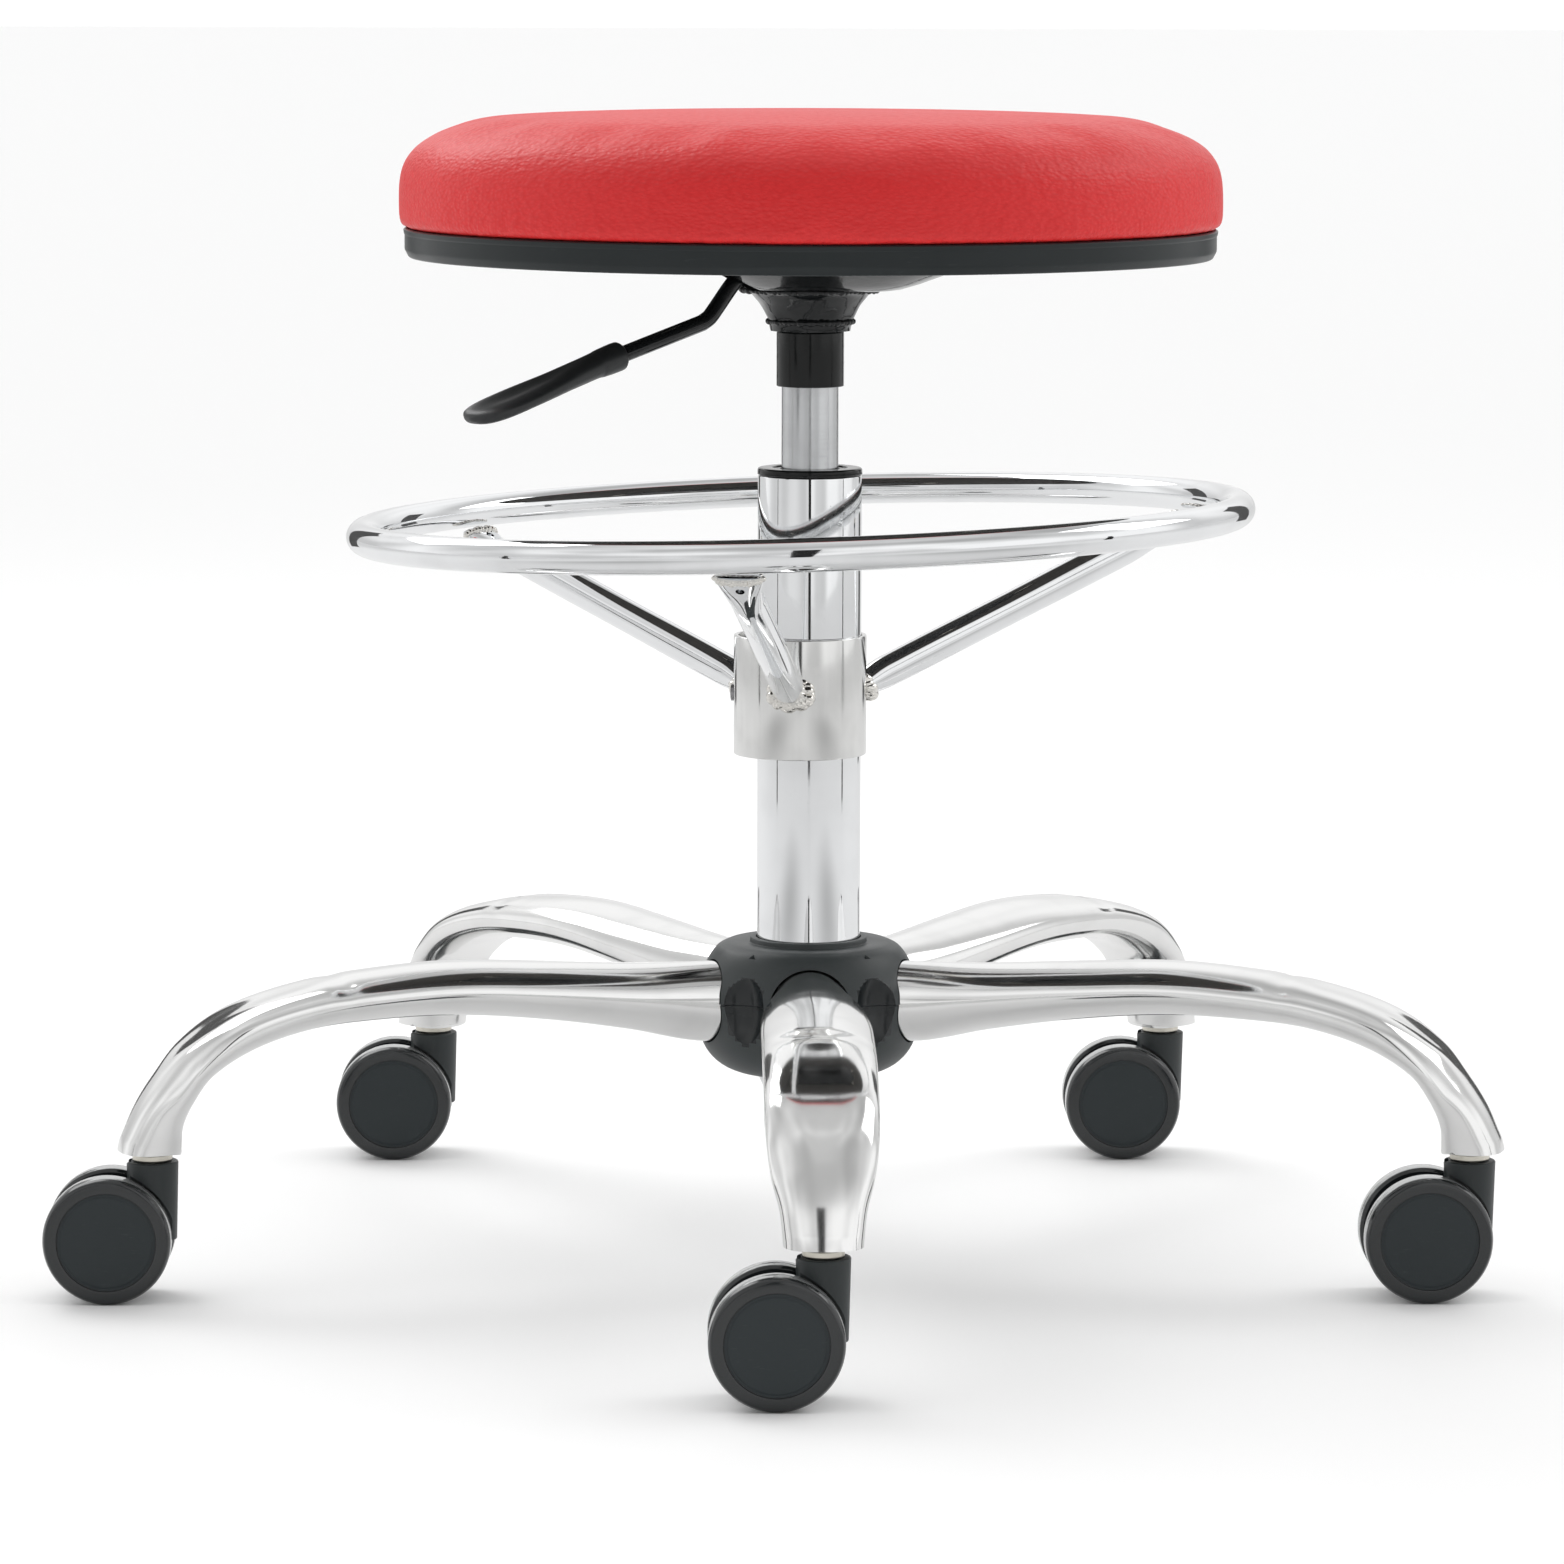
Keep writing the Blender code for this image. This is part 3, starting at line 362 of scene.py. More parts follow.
ENAMEL = Enamel((0.006, 0.007, 0.0075), 0.10, coat=0.3, specular=0.30)
HUB_PLASTIC = Moulded((0.032, 0.039, 0.040), 0.42)
EDGE_PLASTIC = Moulded((0.014, 0.018, 0.019), 0.32, specular=0.28, texture_scale=2200.0,
                       texture_depth=0.00002)
HOOD_PLASTIC = Moulded((0.013, 0.018, 0.019), 0.40)
DISC_PLASTIC = Moulded((0.012, 0.019, 0.022), 0.50, texture_scale=1200.0)
WHEEL_PLASTIC = Enamel((0.010, 0.012, 0.013), 0.16, coat=0.5, peel_scale=90.0, peel_depth=0.00006)
TREAD = Enamel((0.42, 0.43, 0.43), 0.14, metallic=0.7, coat=0.6, peel_scale=160.0,
               peel_depth=0.00008)
# Smoother than the hub plastic, and darker: the darker colour is painted shade in the finger
# hollows.
HOLLOW_SHADED_PLASTIC = Moulded((0.007, 0.009, 0.010), 0.22, texture_scale=900.0, texture_depth=0.00001)
SLEEVE_PLASTIC = Enamel((0.005, 0.006, 0.006), 0.14, coat=0.1, specular=0.28, peel_scale=120.0)
GRIP_PLASTIC = Moulded((0.013, 0.014, 0.015), 0.38, texture_scale=1100.0, texture_depth=0.00006)
VINYL = Vinyl((0.74, 0.028, 0.030), 0.40, specular=0.30)
PLYWOOD = Plywood((0.030, 0.027, 0.024), 0.62)
RUBBER = Moulded((0.015, 0.015, 0.015), 0.80)


# ---------------------------------------------------------------- meshes
class Ends(Enum):
    """What closes a row of rings."""

    CAPPED = "a flat face at each end"
    LOOPED = "the last ring joins the first"


class Carve(Enum):
    """What a second shape does to the first."""

    CUT = "DIFFERENCE"
    JOIN = "UNION"


def about_z(turn: float) -> Matrix:
    """Return a turn about Z."""
    return Matrix.Rotation(turn, 4, "Z")


def shaped(points: Sequence, edges: Sequence = (), faces: Sequence = ()) -> Mesh:
    """Return a mesh of points, edges and faces."""
    mesh = bpy.data.meshes.new("shape")
    mesh.from_pydata(points, edges, faces)
    return mesh


def in_scene(name: str, data: bpy.types.ID) -> bpy.types.Object:
    """Put a mesh, a lamp or the camera in the scene as an object."""
    item = bpy.data.objects.new(name, data)
    bpy.context.scene.collection.objects.link(item)
    return item


def skin(rings: Sequence[Sequence[Vector]], ends: Ends, matrix: Matrix = Matrix()) -> Mesh:
    """Skin a row of rings into a closed shape.

    Args:
        rings: Rings with the same number of points each.
        ends: How the row is closed.
        matrix: Where the shape goes.

    Returns:
        A mesh with its faces pointing outwards.
    """
    sides = len(rings[0])
    rows = len(rings)
    faces: list[tuple[int, ...]] = []
    for row in range(rows if ends is Ends.LOOPED else rows - 1):
        near, far = row * sides, (row + 1) % rows * sides
        for side in range(sides):
            after = (side + 1) % sides
            faces.append((near + side, near + after, far + after, far + side))
    if ends is Ends.CAPPED:
        faces.append(tuple(reversed(range(sides))))
        faces.append(tuple((rows - 1) * sides + side for side in range(sides)))
    return cleaned(shaped([matrix @ point for ring in rings for point in ring], [], faces))


def cleaned(mesh: Mesh) -> Mesh:
    """Merge points that coincide, drop faces of no size and point the rest outwards."""
    shape = bmesh.new()
    shape.from_mesh(mesh)
    bmesh.ops.remove_doubles(shape, verts=shape.verts, dist=1e-6)
    bmesh.ops.dissolve_degenerate(shape, edges=shape.edges, dist=1e-7)
    bmesh.ops.recalc_face_normals(shape, faces=shape.faces)
    shape.to_mesh(mesh)
    shape.free()
    return mesh


def joined(*meshes: Mesh) -> Mesh:
    """Put several meshes into one, without merging them."""
    shape = bmesh.new()
    for mesh in meshes:
        shape.from_mesh(mesh)
    result = bpy.data.meshes.new("joined")
    shape.to_mesh(result)
    shape.free()
    return result


def moved(mesh: Mesh, matrix: Matrix) -> Mesh:
    """Return a copy of a mesh, placed by a matrix."""
    result = mesh.copy()
    result.transform(matrix)
    return result


def pressed_out(mesh: Mesh, radius: float) -> Mesh:
    """Push what lies inside a cylinder round the Z axis out to its surface.

    Args:
        mesh: The mesh to change.
        radius: The cylinder's radius.

    Returns:
        The same mesh.
    """
    for vertex in mesh.vertices:
        reach = math.hypot(vertex.co.x, vertex.co.y)
        if 0.0 < reach < radius:
            vertex.co.xy = vertex.co.xy * (radius / reach)
    return mesh


def circle(radius: float, height: float, sides: int = SIDES) -> list[Vector]:
    """Return a level ring of points about Z."""
    turns = [math.tau * side / sides for side in range(sides)]
    return [Vector((radius * math.cos(turn), radius * math.sin(turn), height)) for turn in turns]


def squarer(spot: Vector, power: float) -> Point:
    """Return a point of the unit circle with its coordinates raised to a power, signs kept."""
    x, y = (math.copysign(abs(part) ** power, part) for part in spot[:2])
    return x, y


def ramped(value: float, start: float, length: float) -> float:
    """Return 0 at a start and 1 a length past it, or before it where the length is negative."""
    return min(max((value - start) / length, 0.0), 1.0)


def hump(value: float, centre: float, width: float) -> float:
    """Return 1 at a centre, and smoothly less away from it."""
    return math.exp(-((value - centre) / width) ** 2)


def step_lengths(rows: Sequence[Row]) -> list[float]:
    """Return how far along its path each row of (reach, height, ...) is."""
    places = [0.0]
    for before, after in zip(rows, rows[1:]):
        places.append(places[-1] + math.dist(before[:2], after[:2]))
    return places


def lathe(profile: Sequence[Point], ends: Ends, matrix: Matrix = Matrix(),
          sides: int = SIDES) -> Mesh:
    """Turn a profile of (radius, height) points about Z.

    Args:
        profile: The points. A capped profile starts and ends on the axis.
        ends: LOOPED for a tube or ring, CAPPED for a solid.
        matrix: Where the shape goes.
        sides: How many steps a turn takes.

    Returns:
        The closed mesh.
    """
    return skin([circle(radius, height, sides) for radius, height in profile], ends, matrix)


def rounded(corners: Sequence[tuple[float, float, float]], steps: int = 4,
            closed: bool = True) -> list[Point]:
    """Round the corners of a profile.

    Args:
        corners: Radius, height and rounding of each corner.
        steps: Points less one that each rounding gets.
        closed: Whether the last corner joins the first.

    Returns:
        The profile's points.
    """
    points: list[Point] = []
    last = len(corners) - 1
    for index, (radius, height, rounding) in enumerate(corners):
        if not rounding or (not closed and index in (0, last)):
            points.append((radius, height))
            continue
        here = Vector((radius, height))
        before = Vector(corners[index - 1][:2]) - here
        after = Vector(corners[(index + 1) % (last + 1)][:2]) - here
        reach = rounding / math.tan(before.angle(after) / 2)
        start = here + before.normalized() * min(reach, 0.49 * before.length)
        end = here + after.normalized() * min(reach, 0.49 * after.length)
        for step in range(steps + 1):
            share = step / steps
            spot = start * (1 - share) ** 2 + here * 2 * share * (1 - share) + end * share ** 2
            points.append((spot.x, spot.y))
    return points


def smooth_rows(rows: Sequence[Row], steps: int) -> list[Row]:
    """Put more rows between those given, on a smooth curve through all of them.

    Args:
        rows: Rows of numbers, of which the first two are a place on a path.
        steps: How many rows take the place of each one.

    Returns:
        The longer list of rows.
    """
    places = step_lengths(rows)
    slopes = []
    for index in range(len(rows)):
        low, high = max(index - 1, 0), min(index + 1, len(rows) - 1)
        gap = places[high] - places[low]
        slopes.append([(b - a) / gap for a, b in zip(rows[low], rows[high])])
    result = [tuple(rows[0])]
    for index in range(len(rows) - 1):
        gap = places[index + 1] - places[index]
        for step in range(1, steps + 1):
            t = step / steps
            weights = (2 * t**3 - 3 * t**2 + 1, (t**3 - 2 * t**2 + t) * gap,
                       3 * t**2 - 2 * t**3, (t**3 - t**2) * gap)
            parts = zip(rows[index], slopes[index], rows[index + 1], slopes[index + 1])
            result.append(tuple(sum(w * v for w, v in zip(weights, part)) for part in parts))
    return result


def path_slopes(rows: Sequence[Row], first: float, last: float) -> list[float]:
    """Return the slope of a path of (reach, height, ...) rows at each of them."""
    slopes = [first]
    for before, after in zip(rows, rows[2:]):
        slopes.append(math.atan2(after[1] - before[1], after[0] - before[0]))
    return slopes + [last]


def sweep(points: Sequence[Vector], radius: float, sides: int = 24,
          matrix: Matrix = Matrix()) -> Mesh:
    """Make a round rod along a path that stays in one upright plane.

    Args:
        points: The path.
        radius: Of the rod.
        sides: Round the rod.
        matrix: Where the rod goes.

    Returns:
        The rod with slightly rounded ends.
    """
    rings = []
    count = len(points)
    for index, point in enumerate(points):
        along = (points[min(index + 1, count - 1)] - points[max(index - 1, 0)]).normalized()
        across = Vector((0.0, 1.0, 0.0))
        rise = along.cross(across)
        size = radius * (0.86 if index in (0, count - 1) else 1.0)
        turns = [math.tau * side / sides for side in range(sides)]
        rings.append([point + (across * math.cos(t) + rise * math.sin(t)) * size for t in turns])
    return skin(rings, Ends.CAPPED, matrix)


def block(size: Row, matrix: Matrix, rounding: float = 0.0) -> Mesh:
    """Make a block with rounded edges, placed by a matrix."""
    shape = bmesh.new()
    bmesh.ops.create_cube(shape, size=1.0)
    bmesh.ops.scale(shape, vec=size, verts=shape.verts)
    if rounding:
        bmesh.ops.bevel(shape, geom=shape.edges, offset=rounding, segments=3, profile=0.5,
                        affect="EDGES")
    bmesh.ops.transform(shape, matrix=matrix, verts=shape.verts)
    mesh = bpy.data.meshes.new("block")
    shape.to_mesh(mesh)
    shape.free()
    return mesh


def rod(start: Vector, end: Vector, radius: float, sides: int = 48) -> Mesh:
    """Make a plain round bar, as a cutter or a pin."""
    along = end - start
    turn = Vector((0.0, 0.0, 1.0)).rotation_difference(along).to_matrix().to_4x4()
    profile = ((radius, 0.0), (radius, along.length))
    return lathe(profile, Ends.CAPPED, Matrix.Translation(start) @ turn, sides)


def bench(mesh: Mesh) -> bpy.types.Object:
    """Put a mesh in the scene for a while, to work on it."""
    return in_scene("bench", mesh)


def taken_off(item: bpy.types.Object, *others: bpy.types.Object) -> Mesh:
    """Return an object's mesh as its modifiers leave it, and remove the objects."""
    graph = bpy.context.evaluated_depsgraph_get()
    graph.update()
    mesh = bpy.data.meshes.new_from_object(item.evaluated_get(graph), depsgraph=graph)
    for used in (item, *others):
        bpy.data.objects.remove(used, do_unlink=True)
    return mesh


def carved(mesh: Mesh, others: Sequence[Mesh], way: Carve = Carve.CUT) -> Mesh:
    """Cut shapes out of a mesh, or join them to it."""
    host = bench(mesh)
    tools = []
    for other in others:
        tools.append(bench(other))
        change = host.modifiers.new(way.name, "BOOLEAN")
        change.operation = way.value
        change.solver = "EXACT"
        change.object = tools[-1]
    return cleaned(taken_off(host, *tools))


# ---------------------------------------------------------------- filing pieces
def add_piece(name: str, mesh: Mesh, finish: Finish, body: str, slot: str,
              *nodes: str, sharp: float = SHARP) -> bpy.types.Object:
    """Add a finished piece to the scene.

    Args:
        name: The piece's name.
        mesh: Its mesh, in its final place.
        finish: What it is made of.
        body: The body that it rides on.
        slot: The record's slot for its finish; not used.
        nodes: The CAD nodes that it stands for.
        sharp: The angle past which an edge shows as an edge.

    Returns:
        The new object.
    """
    mesh.name = name
    mesh.materials.clear()
    mesh.materials.append(finish.material(name))
    mesh.shade_smooth()
    mesh.set_sharp_from_angle(angle=sharp)
    item = in_scene(name, mesh)
    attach(item, body)
    if nodes:
        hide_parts(*nodes)
    LOG.info("%s: %d faces on %s", name, len(mesh.polygons), body)
    return item


def dress_node(name: str, finish: Finish) -> None:
    """Give a CAD node that stays in sight a better finish."""
    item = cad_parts[name]
    for slot in item.material_slots:
        slot.material = finish.material(f"{name}_finish")
    LOG.info("%s: dressed", name)


def middle(node: str) -> Vector:
    """Return the middle of a node's box."""
    low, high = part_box(node)
    return (Vector(low) + Vector(high)) / 2


def axis_of(node: str) -> Matrix:
    """Return the matrix that carries a shape on Z to a node's upright axis."""
    centre = middle(node)
    return Matrix.Translation((centre.x, centre.y, 0.0))


def heights(node: str) -> Point:
    """Return a node's lowest and highest points."""
    low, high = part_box(node)
    return low[2], high[2]


# ---------------------------------------------------------------- geometry node tools
class Tool:
    """A geometry node tree with named inputs, run once on a mesh."""

    def __init__(self, name: str) -> None:
        """Start a tree with a geometry input and output, and a finish."""
        self.tree = bpy.data.node_groups.new(name, "GeometryNodeTree")
        self.nodes = Nodes(self.tree)
        face = self.tree.interface
        face.new_socket("Geometry", in_out="OUTPUT", socket_type="NodeSocketGeometry")
        face.new_socket("Geometry", in_out="INPUT", socket_type="NodeSocketGeometry")
        face.new_socket("Finish", in_out="INPUT", socket_type="NodeSocketMaterial")
        self.source = self.tree.nodes.new("NodeGroupInput")
        self.result = self.tree.nodes.new("NodeGroupOutput")

    def number(self, name: str, kind: str = "NodeSocketFloat") -> Wire:
        """Add a named input and return it."""
        self.tree.interface.new_socket(name, in_out="INPUT", socket_type=kind)
        return self.given(name)

    def given(self, name: str) -> Wire:
        """Return an input by its name."""
        return Wire(self.nodes, self.source.outputs[name])

    def end(self, shape: Wire) -> None:
        """Realise instances, set the material and close the tree."""
        real = self.nodes.add("GeometryNodeRealizeInstances", None, {0: shape})
        dressed = self.nodes.add("GeometryNodeSetMaterial", None,
                                 {"Geometry": real, "Material": self.given("Finish")})
        self.tree.links.new(dressed.socket, self.result.inputs[0])

    def run(self, mesh: Mesh, finish: Finish, **sizes: float) -> Mesh:
        """Run the tree on a mesh.

        Args:
            mesh: What goes in.
            finish: The finish that the tree sets.
            sizes: A value for each named input, with _ for a space.

        Returns:
            The plain mesh that comes out.
        """
        item = bench(mesh)
        change = item.modifiers.new("tool", "NODES")
        change.node_group = self.tree
        wanted = {key.replace("_", " "): value for key, value in sizes.items()}
        wanted["Finish"] = finish.material(self.tree.name)
        for socket in self.tree.interface.items_tree:
            if socket.in_out == "INPUT" and socket.name in wanted:
                change[socket.identifier] = wanted[socket.name]
        return taken_off(item)


def ring_tool() -> Tool:
    """Build the tree that bends a tube into a closed hoop."""
    tool = Tool("hoop")
    radius, tube = tool.number("Hoop Radius"), tool.number("Tube Radius")
    path = tool.nodes.add("GeometryNodeCurvePrimitiveCircle", None,
                          {"Resolution": 180, "Radius": radius})
    section = tool.nodes.add("GeometryNodeCurvePrimitiveCircle", None,
                             {"Resolution": 28, "Radius": tube})
    tool.end(tool.nodes.add("GeometryNodeCurveToMesh", None,
                            {"Curve": path, "Profile Curve": section}))
    return tool


def bead_tool() -> Tool:
    """Build the tree that lays a weld bead: uneven, overlapping beads along a closed line."""
    tool = Tool("weld_bead")
    pitch, size = tool.number("Pitch"), tool.number("Bead Radius")
    seed = tool.number("Seed", "NodeSocketInt")
    path = tool.nodes.add("GeometryNodeMeshToCurve", None, {"Mesh": tool.given("Geometry")})
    spots = tool.nodes.add("GeometryNodeResampleCurve", {"mode": "LENGTH"},
                           {"Curve": path, "Length": pitch})
    bead = tool.nodes.add("GeometryNodeMeshIcoSphere", None, {"Radius": size, "Subdivisions": 3})
    uneven = tool.nodes.add("FunctionNodeRandomValue", {"data_type": "FLOAT_VECTOR"},
                            {0: (0.75, 0.75, 0.60), 1: (1.35, 1.35, 1.15), "Seed": seed})
    placed = tool.nodes.add("GeometryNodeInstanceOnPoints", None,
                            {"Points": spots, "Instance": bead, "Scale": uneven})
    tool.end(placed)
    return tool


def screw_tool() -> Tool:
    """Build the tree that sets a cross-recess screw head on each point, facing down."""
    tool = Tool("screw_heads")
    radius, depth = tool.number("Head Radius"), tool.number("Head Depth")
    nodes = tool.nodes
    head = nodes.add("GeometryNodeMeshCone", None, {
        "Vertices": 40, "Side Segments": 3, "Fill Segments": 2,
        "Radius Top": radius * 0.62, "Radius Bottom": radius, "Depth": depth})
    arms = []
    for size in ((0.0009, 0.0052, 0.004), (0.0052, 0.0009, 0.004)):
        arms.append(nodes.add("GeometryNodeMeshCube", None, {"Size": size}))
    shape = head
    for arm in arms:
        raised = nodes.add("GeometryNodeTransform", None,
                           {"Geometry": arm, "Translation": (0, 0, 0.0040)})
        cut = nodes.tree.nodes.new("GeometryNodeMeshBoolean")
        nodes.tree.links.new(shape.socket, cut.inputs[0])
        nodes.tree.links.new(raised.socket, cut.inputs[1])
        shape = Wire(nodes, cut.outputs[0])
    turned = nodes.add("GeometryNodeTransform", None,
                       {"Geometry": shape, "Rotation": (math.pi, 0, 0.4)})
    tool.end(nodes.add("GeometryNodeInstanceOnPoints", None,
                       {"Points": tool.given("Geometry"), "Instance": turned}))
    return tool


def loop_mesh(points: Sequence[Vector]) -> Mesh:
    """Return a mesh of edges only, along a closed line."""
    count = len(points)
    edges = [(i, (i + 1) % count) for i in range(count)]
    return shaped(points, edges)


# ---------------------------------------------------------------- seat
@dataclass
class SeatPad:
    """The round cushion, blown up by cloth from a slightly smaller shape with its foot held."""

    profile: tuple[Point, ...] = (
        (0.0000, 0.5528), (0.0600, 0.5526), (0.1150, 0.5515), (0.1600, 0.5492), (0.1765, 0.5462),
        (0.1880, 0.5398), (0.1942, 0.5305), (0.1962, 0.5205), (0.1958, 0.5110), (0.1944, 0.5030),
        (0.1922, 0.4988), (0.0000, 0.4988),
    )
    voxel: float = 0.005
    pressure: float = 4.0
    steps: int = 20
    most: float = 0.0030
    radius: float = 0.1974
    top: float = 0.5548
    held_below: float = 0.5015

    def blank(self) -> Mesh:
        """Return the shape before it swells."""
        fine = smooth_rows(self.profile[:-1], 5) + [self.profile[-1]]
        return lathe([(max(radius, 0.0), height) for radius, height in fine], Ends.CAPPED,
                     axis_of("cushion"), 144)

    def blow_up(self, mesh: Mesh) -> Mesh:
        """Inflate the blank under pressure with its foot held, and cap how far each point moves.

        Args:
            mesh: The blank.

        Returns:
            The swollen mesh.
        """
        item = bench(mesh)
        grid = item.modifiers.new("grid", "REMESH")
        grid.mode = "VOXEL"
        grid.voxel_size = self.voxel
        item = bench(taken_off(item))
        start = [vertex.co.copy() for vertex in item.data.vertices]
        held = item.vertex_groups.new(name="held")
        held.add([i for i, spot in enumerate(start) if spot.z < self.held_below], 1.0, "REPLACE")
        cloth = item.modifiers.new("cloth", "CLOTH")
        cloth.settings.use_pressure = True
        cloth.settings.uniform_pressure_force = self.pressure
        cloth.settings.effector_weights.gravity = 0.0
        cloth.settings.vertex_group_mass = "held"
        cloth.point_cache.frame_end = self.steps
        scene = bpy.context.scene
        for step in range(1, self.steps + 1):
            scene.frame_set(step)
        swollen = taken_off(item)
        scene.frame_set(1)
        for vertex, spot in zip(swollen.vertices, start):
            move = vertex.co - spot
            if move.length > self.most:
                move *= self.most / move.length
            vertex.co = spot + move
        return swollen

    def eased(self, mesh: Mesh) -> Mesh:
        """Ease out the grid's steps and divide the mesh once."""
        item = bench(mesh)
        ease = item.modifiers.new("ease", "SMOOTH")
        ease.factor = 0.5
        ease.iterations = 8
        finer = item.modifiers.new("finer", "SUBSURF")
        finer.levels = finer.render_levels = 1
        mesh = taken_off(item)
        centre, foot = middle("cushion"), self.profile[-1][1]
        wide = max(math.hypot(v.co.x - centre.x, v.co.y - centre.y) for v in mesh.vertices)
        tall = max(v.co.z for v in mesh.vertices) - foot
        share = self.radius / wide
        size = Matrix.Diagonal((share, share, (self.top - foot) / tall, 1.0))
        anchor = Matrix.Translation((centre.x, centre.y, foot))
        mesh.transform(anchor @ size @ anchor.inverted())
        return mesh

    def build(self) -> None:
        """Make the cushion."""
        mesh = self.blank()
        mesh = self.eased(self.blow_up(mesh))
        pad = add_piece("seat_cushion", mesh, VINYL, "seat", "seat_vinyl", "cushion",
                        sharp=math.radians(80))


@dataclass
class SeatBoard:
    """The plywood board in its edge band."""

    lip: float = 0.0012

    def build(self) -> None:
        """Make the band and dress the board."""
        low, high = heights("trim_band")
        corner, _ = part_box("trim_band")
        radius = middle("trim_band").x - corner[0]
        inner = radius - 0.0042
        profile = rounded((
            (inner, high, 0.0), (inner, high + 0.0004, 0.0004),
            (radius - self.lip, high + 0.0010, 0.0006), (radius, high + 0.0002, 0.0006),
            (radius - 0.0003, high - 0.0016, 0.0005), (radius - 0.0006, high - 0.0022, 0.0006),
            (radius - 0.0006, low + 0.0038, 0.0030), (radius - 0.0026, low, 0.0016),
            (radius - 0.0095, low, 0.0006), (radius - 0.0095, low + 0.0009, 0.0),
            (inner, low + 0.0009, 0.0),
        ))
        mesh = lathe(profile, Ends.LOOPED, axis_of("trim_band"), 180)
        add_piece("edge_band", mesh, EDGE_PLASTIC, "seat", "edge_plastic", "trim_band")
        dress_node("seat_board", PLYWOOD)


@dataclass
class SeatPlate:
    """The pressed plate under the seat, with its welded socket, lever ears and screws."""

    centre_x: float = 0.0120
    half: Point = (0.0655, 0.0600)
    flange: Point = (0.0830, 0.0780)
    pressing: tuple[Point, ...] = (
        (0.50, 0.0), (0.57, 0.06), (0.68, 0.26), (0.86, 0.66), (0.96, 0.90), (1.03, 0.98),
    )
    sheet: float = 0.0030
    hole: float = 0.0240
    roundness: float = 4.0
    flare: tuple[Point, ...] = (
        (0.0192, 0.4503), (0.0197, 0.4525), (0.0206, 0.4562), (0.0222, 0.4600), (0.0248, 0.4640),
        (0.0285, 0.4680), (0.0330, 0.4704),
    )
    bore: float = 0.0143
    lump: float = 0.0011
    lever_angle: float = math.radians(220.0)
    slot: tuple[Row, Row] = ((0.0560, 0.0, 0.4740), (0.0520, 0.0120, 0.0190))
    ear: tuple[Row, Row] = ((0.0300, 0.0075, 0.4785), (0.0100, 0.0025, 0.0115))
    beads: tuple[Row, ...] = ((0.0198, 0.4548, 0.0018), (0.0325, 0.4700, 0.0016))
    bead_pitch: float = 0.0026
    screw_head: Row = (0.0054, 0.0032, 0.0034)

    def outline(self, half_x: float, half_y: float, centre_x: float, height: float) -> list[Vector]:
        """Return a squared-off oval of points."""
        ring = []
        for spot in circle(1.0, 0.0, 120):
            x, y = squarer(spot, 2 / self.roundness)
            ring.append(Vector((centre_x + half_x * x, half_y * y, height)))
        return ring

    def pan(self) -> Mesh:
        """Return the dished pan with its flange."""
        low, high = heights("gas_cylinder")[1] + 0.0002, heights("seat_plate")[1]
        rows: list[list[Vector]] = []
        for skin_height, side in ((0.0, 0), (self.sheet, 1)):
            rings = [circle(self.hole, low + skin_height, 120)]
            for share, rise in self.pressing:
                half_x, half_y = self.half[0] * share, self.half[1] * share
                height = low + (high - self.sheet - low) * rise + skin_height
                rings.append(self.outline(half_x, half_y, self.centre_x * share, height))
            for inset, lift in ((0.0006, 0.0), (0.0, 0.0008)):
                edge = high - self.sheet + (lift if side == 0 else self.sheet - lift)
                half_x, half_y = self.flange[0] - inset, self.flange[1] - inset
                rings.append(self.outline(half_x, half_y, self.centre_x, edge))
            rows += rings if side == 0 else list(reversed(rings))
        return skin(rows, Ends.LOOPED)

    def socket(self) -> Mesh:
        """Return the flared socket, uneven where the weld has run."""
        rings = []
        fine = smooth_rows(self.flare, 4)
        for index, (radius, height) in enumerate(fine):
            ring = []
            for spot in circle(1.0, 0.0):
                lump = noise.noise(Vector((spot.x * 2.1, spot.y * 2.1, height * 190.0)))
                share = math.sin(math.pi * index / (len(fine) - 1))
                size = radius + self.lump * lump * share
                ring.append(Vector((spot.x * size, spot.y * size, height)))
            rings.append(ring)
        top = self.flare[-1][1] + 0.0010
        rings.append(circle(self.flare[-1][0], top))
        rings.append(circle(self.bore, top))
        rings.append(circle(self.bore, self.flare[0][1]))
        return skin(rings, Ends.LOOPED)

    def build(self) -> None:
        """Make the plate, its welds and its screws."""
        place = axis_of("gas_cylinder")
        turn = about_z(self.lever_angle)
        where, size = self.slot
        slot = block(size, turn @ Matrix.Translation(where), 0.0020)
        pan = carved(self.pan(), [slot])
        where, size = self.ear
        ears = []
        for side in (-1, 1):
            spot = turn @ Matrix.Translation((where[0], side * where[1], where[2]))
            ears.append(block(size, spot, 0.0006))
        plate = moved(joined(pan, self.socket(), *ears), place)
        add_piece("pressed_plate", plate, ENAMEL, "seat", "black_enamel", "seat_plate")
        bead = bead_tool()
        for number, (radius, height, size) in enumerate(self.beads):
            line = loop_mesh(circle(radius, height, 60))
            weld = bead.run(line, ENAMEL, Pitch=self.bead_pitch, Bead_Radius=size, Seed=number + 3)
            add_piece(f"plate_weld_{number + 1}", moved(weld, place), ENAMEL, "seat",
                      "black_enamel")
        names = [f"seat_screw_{number}" for number in range(1, 5)]
        spots = [Vector((*middle(name)[:2], heights(name)[0])) for name in names]
        radius, depth, lift = self.screw_head
        heads = screw_tool().run(shaped(spots), ZINC, Head_Radius=radius, Head_Depth=depth)
        heads = moved(heads, Matrix.Translation((0.0, 0.0, lift)))
        add_piece("plate_screws", heads, ZINC, "seat", "zinc_steel", *names)


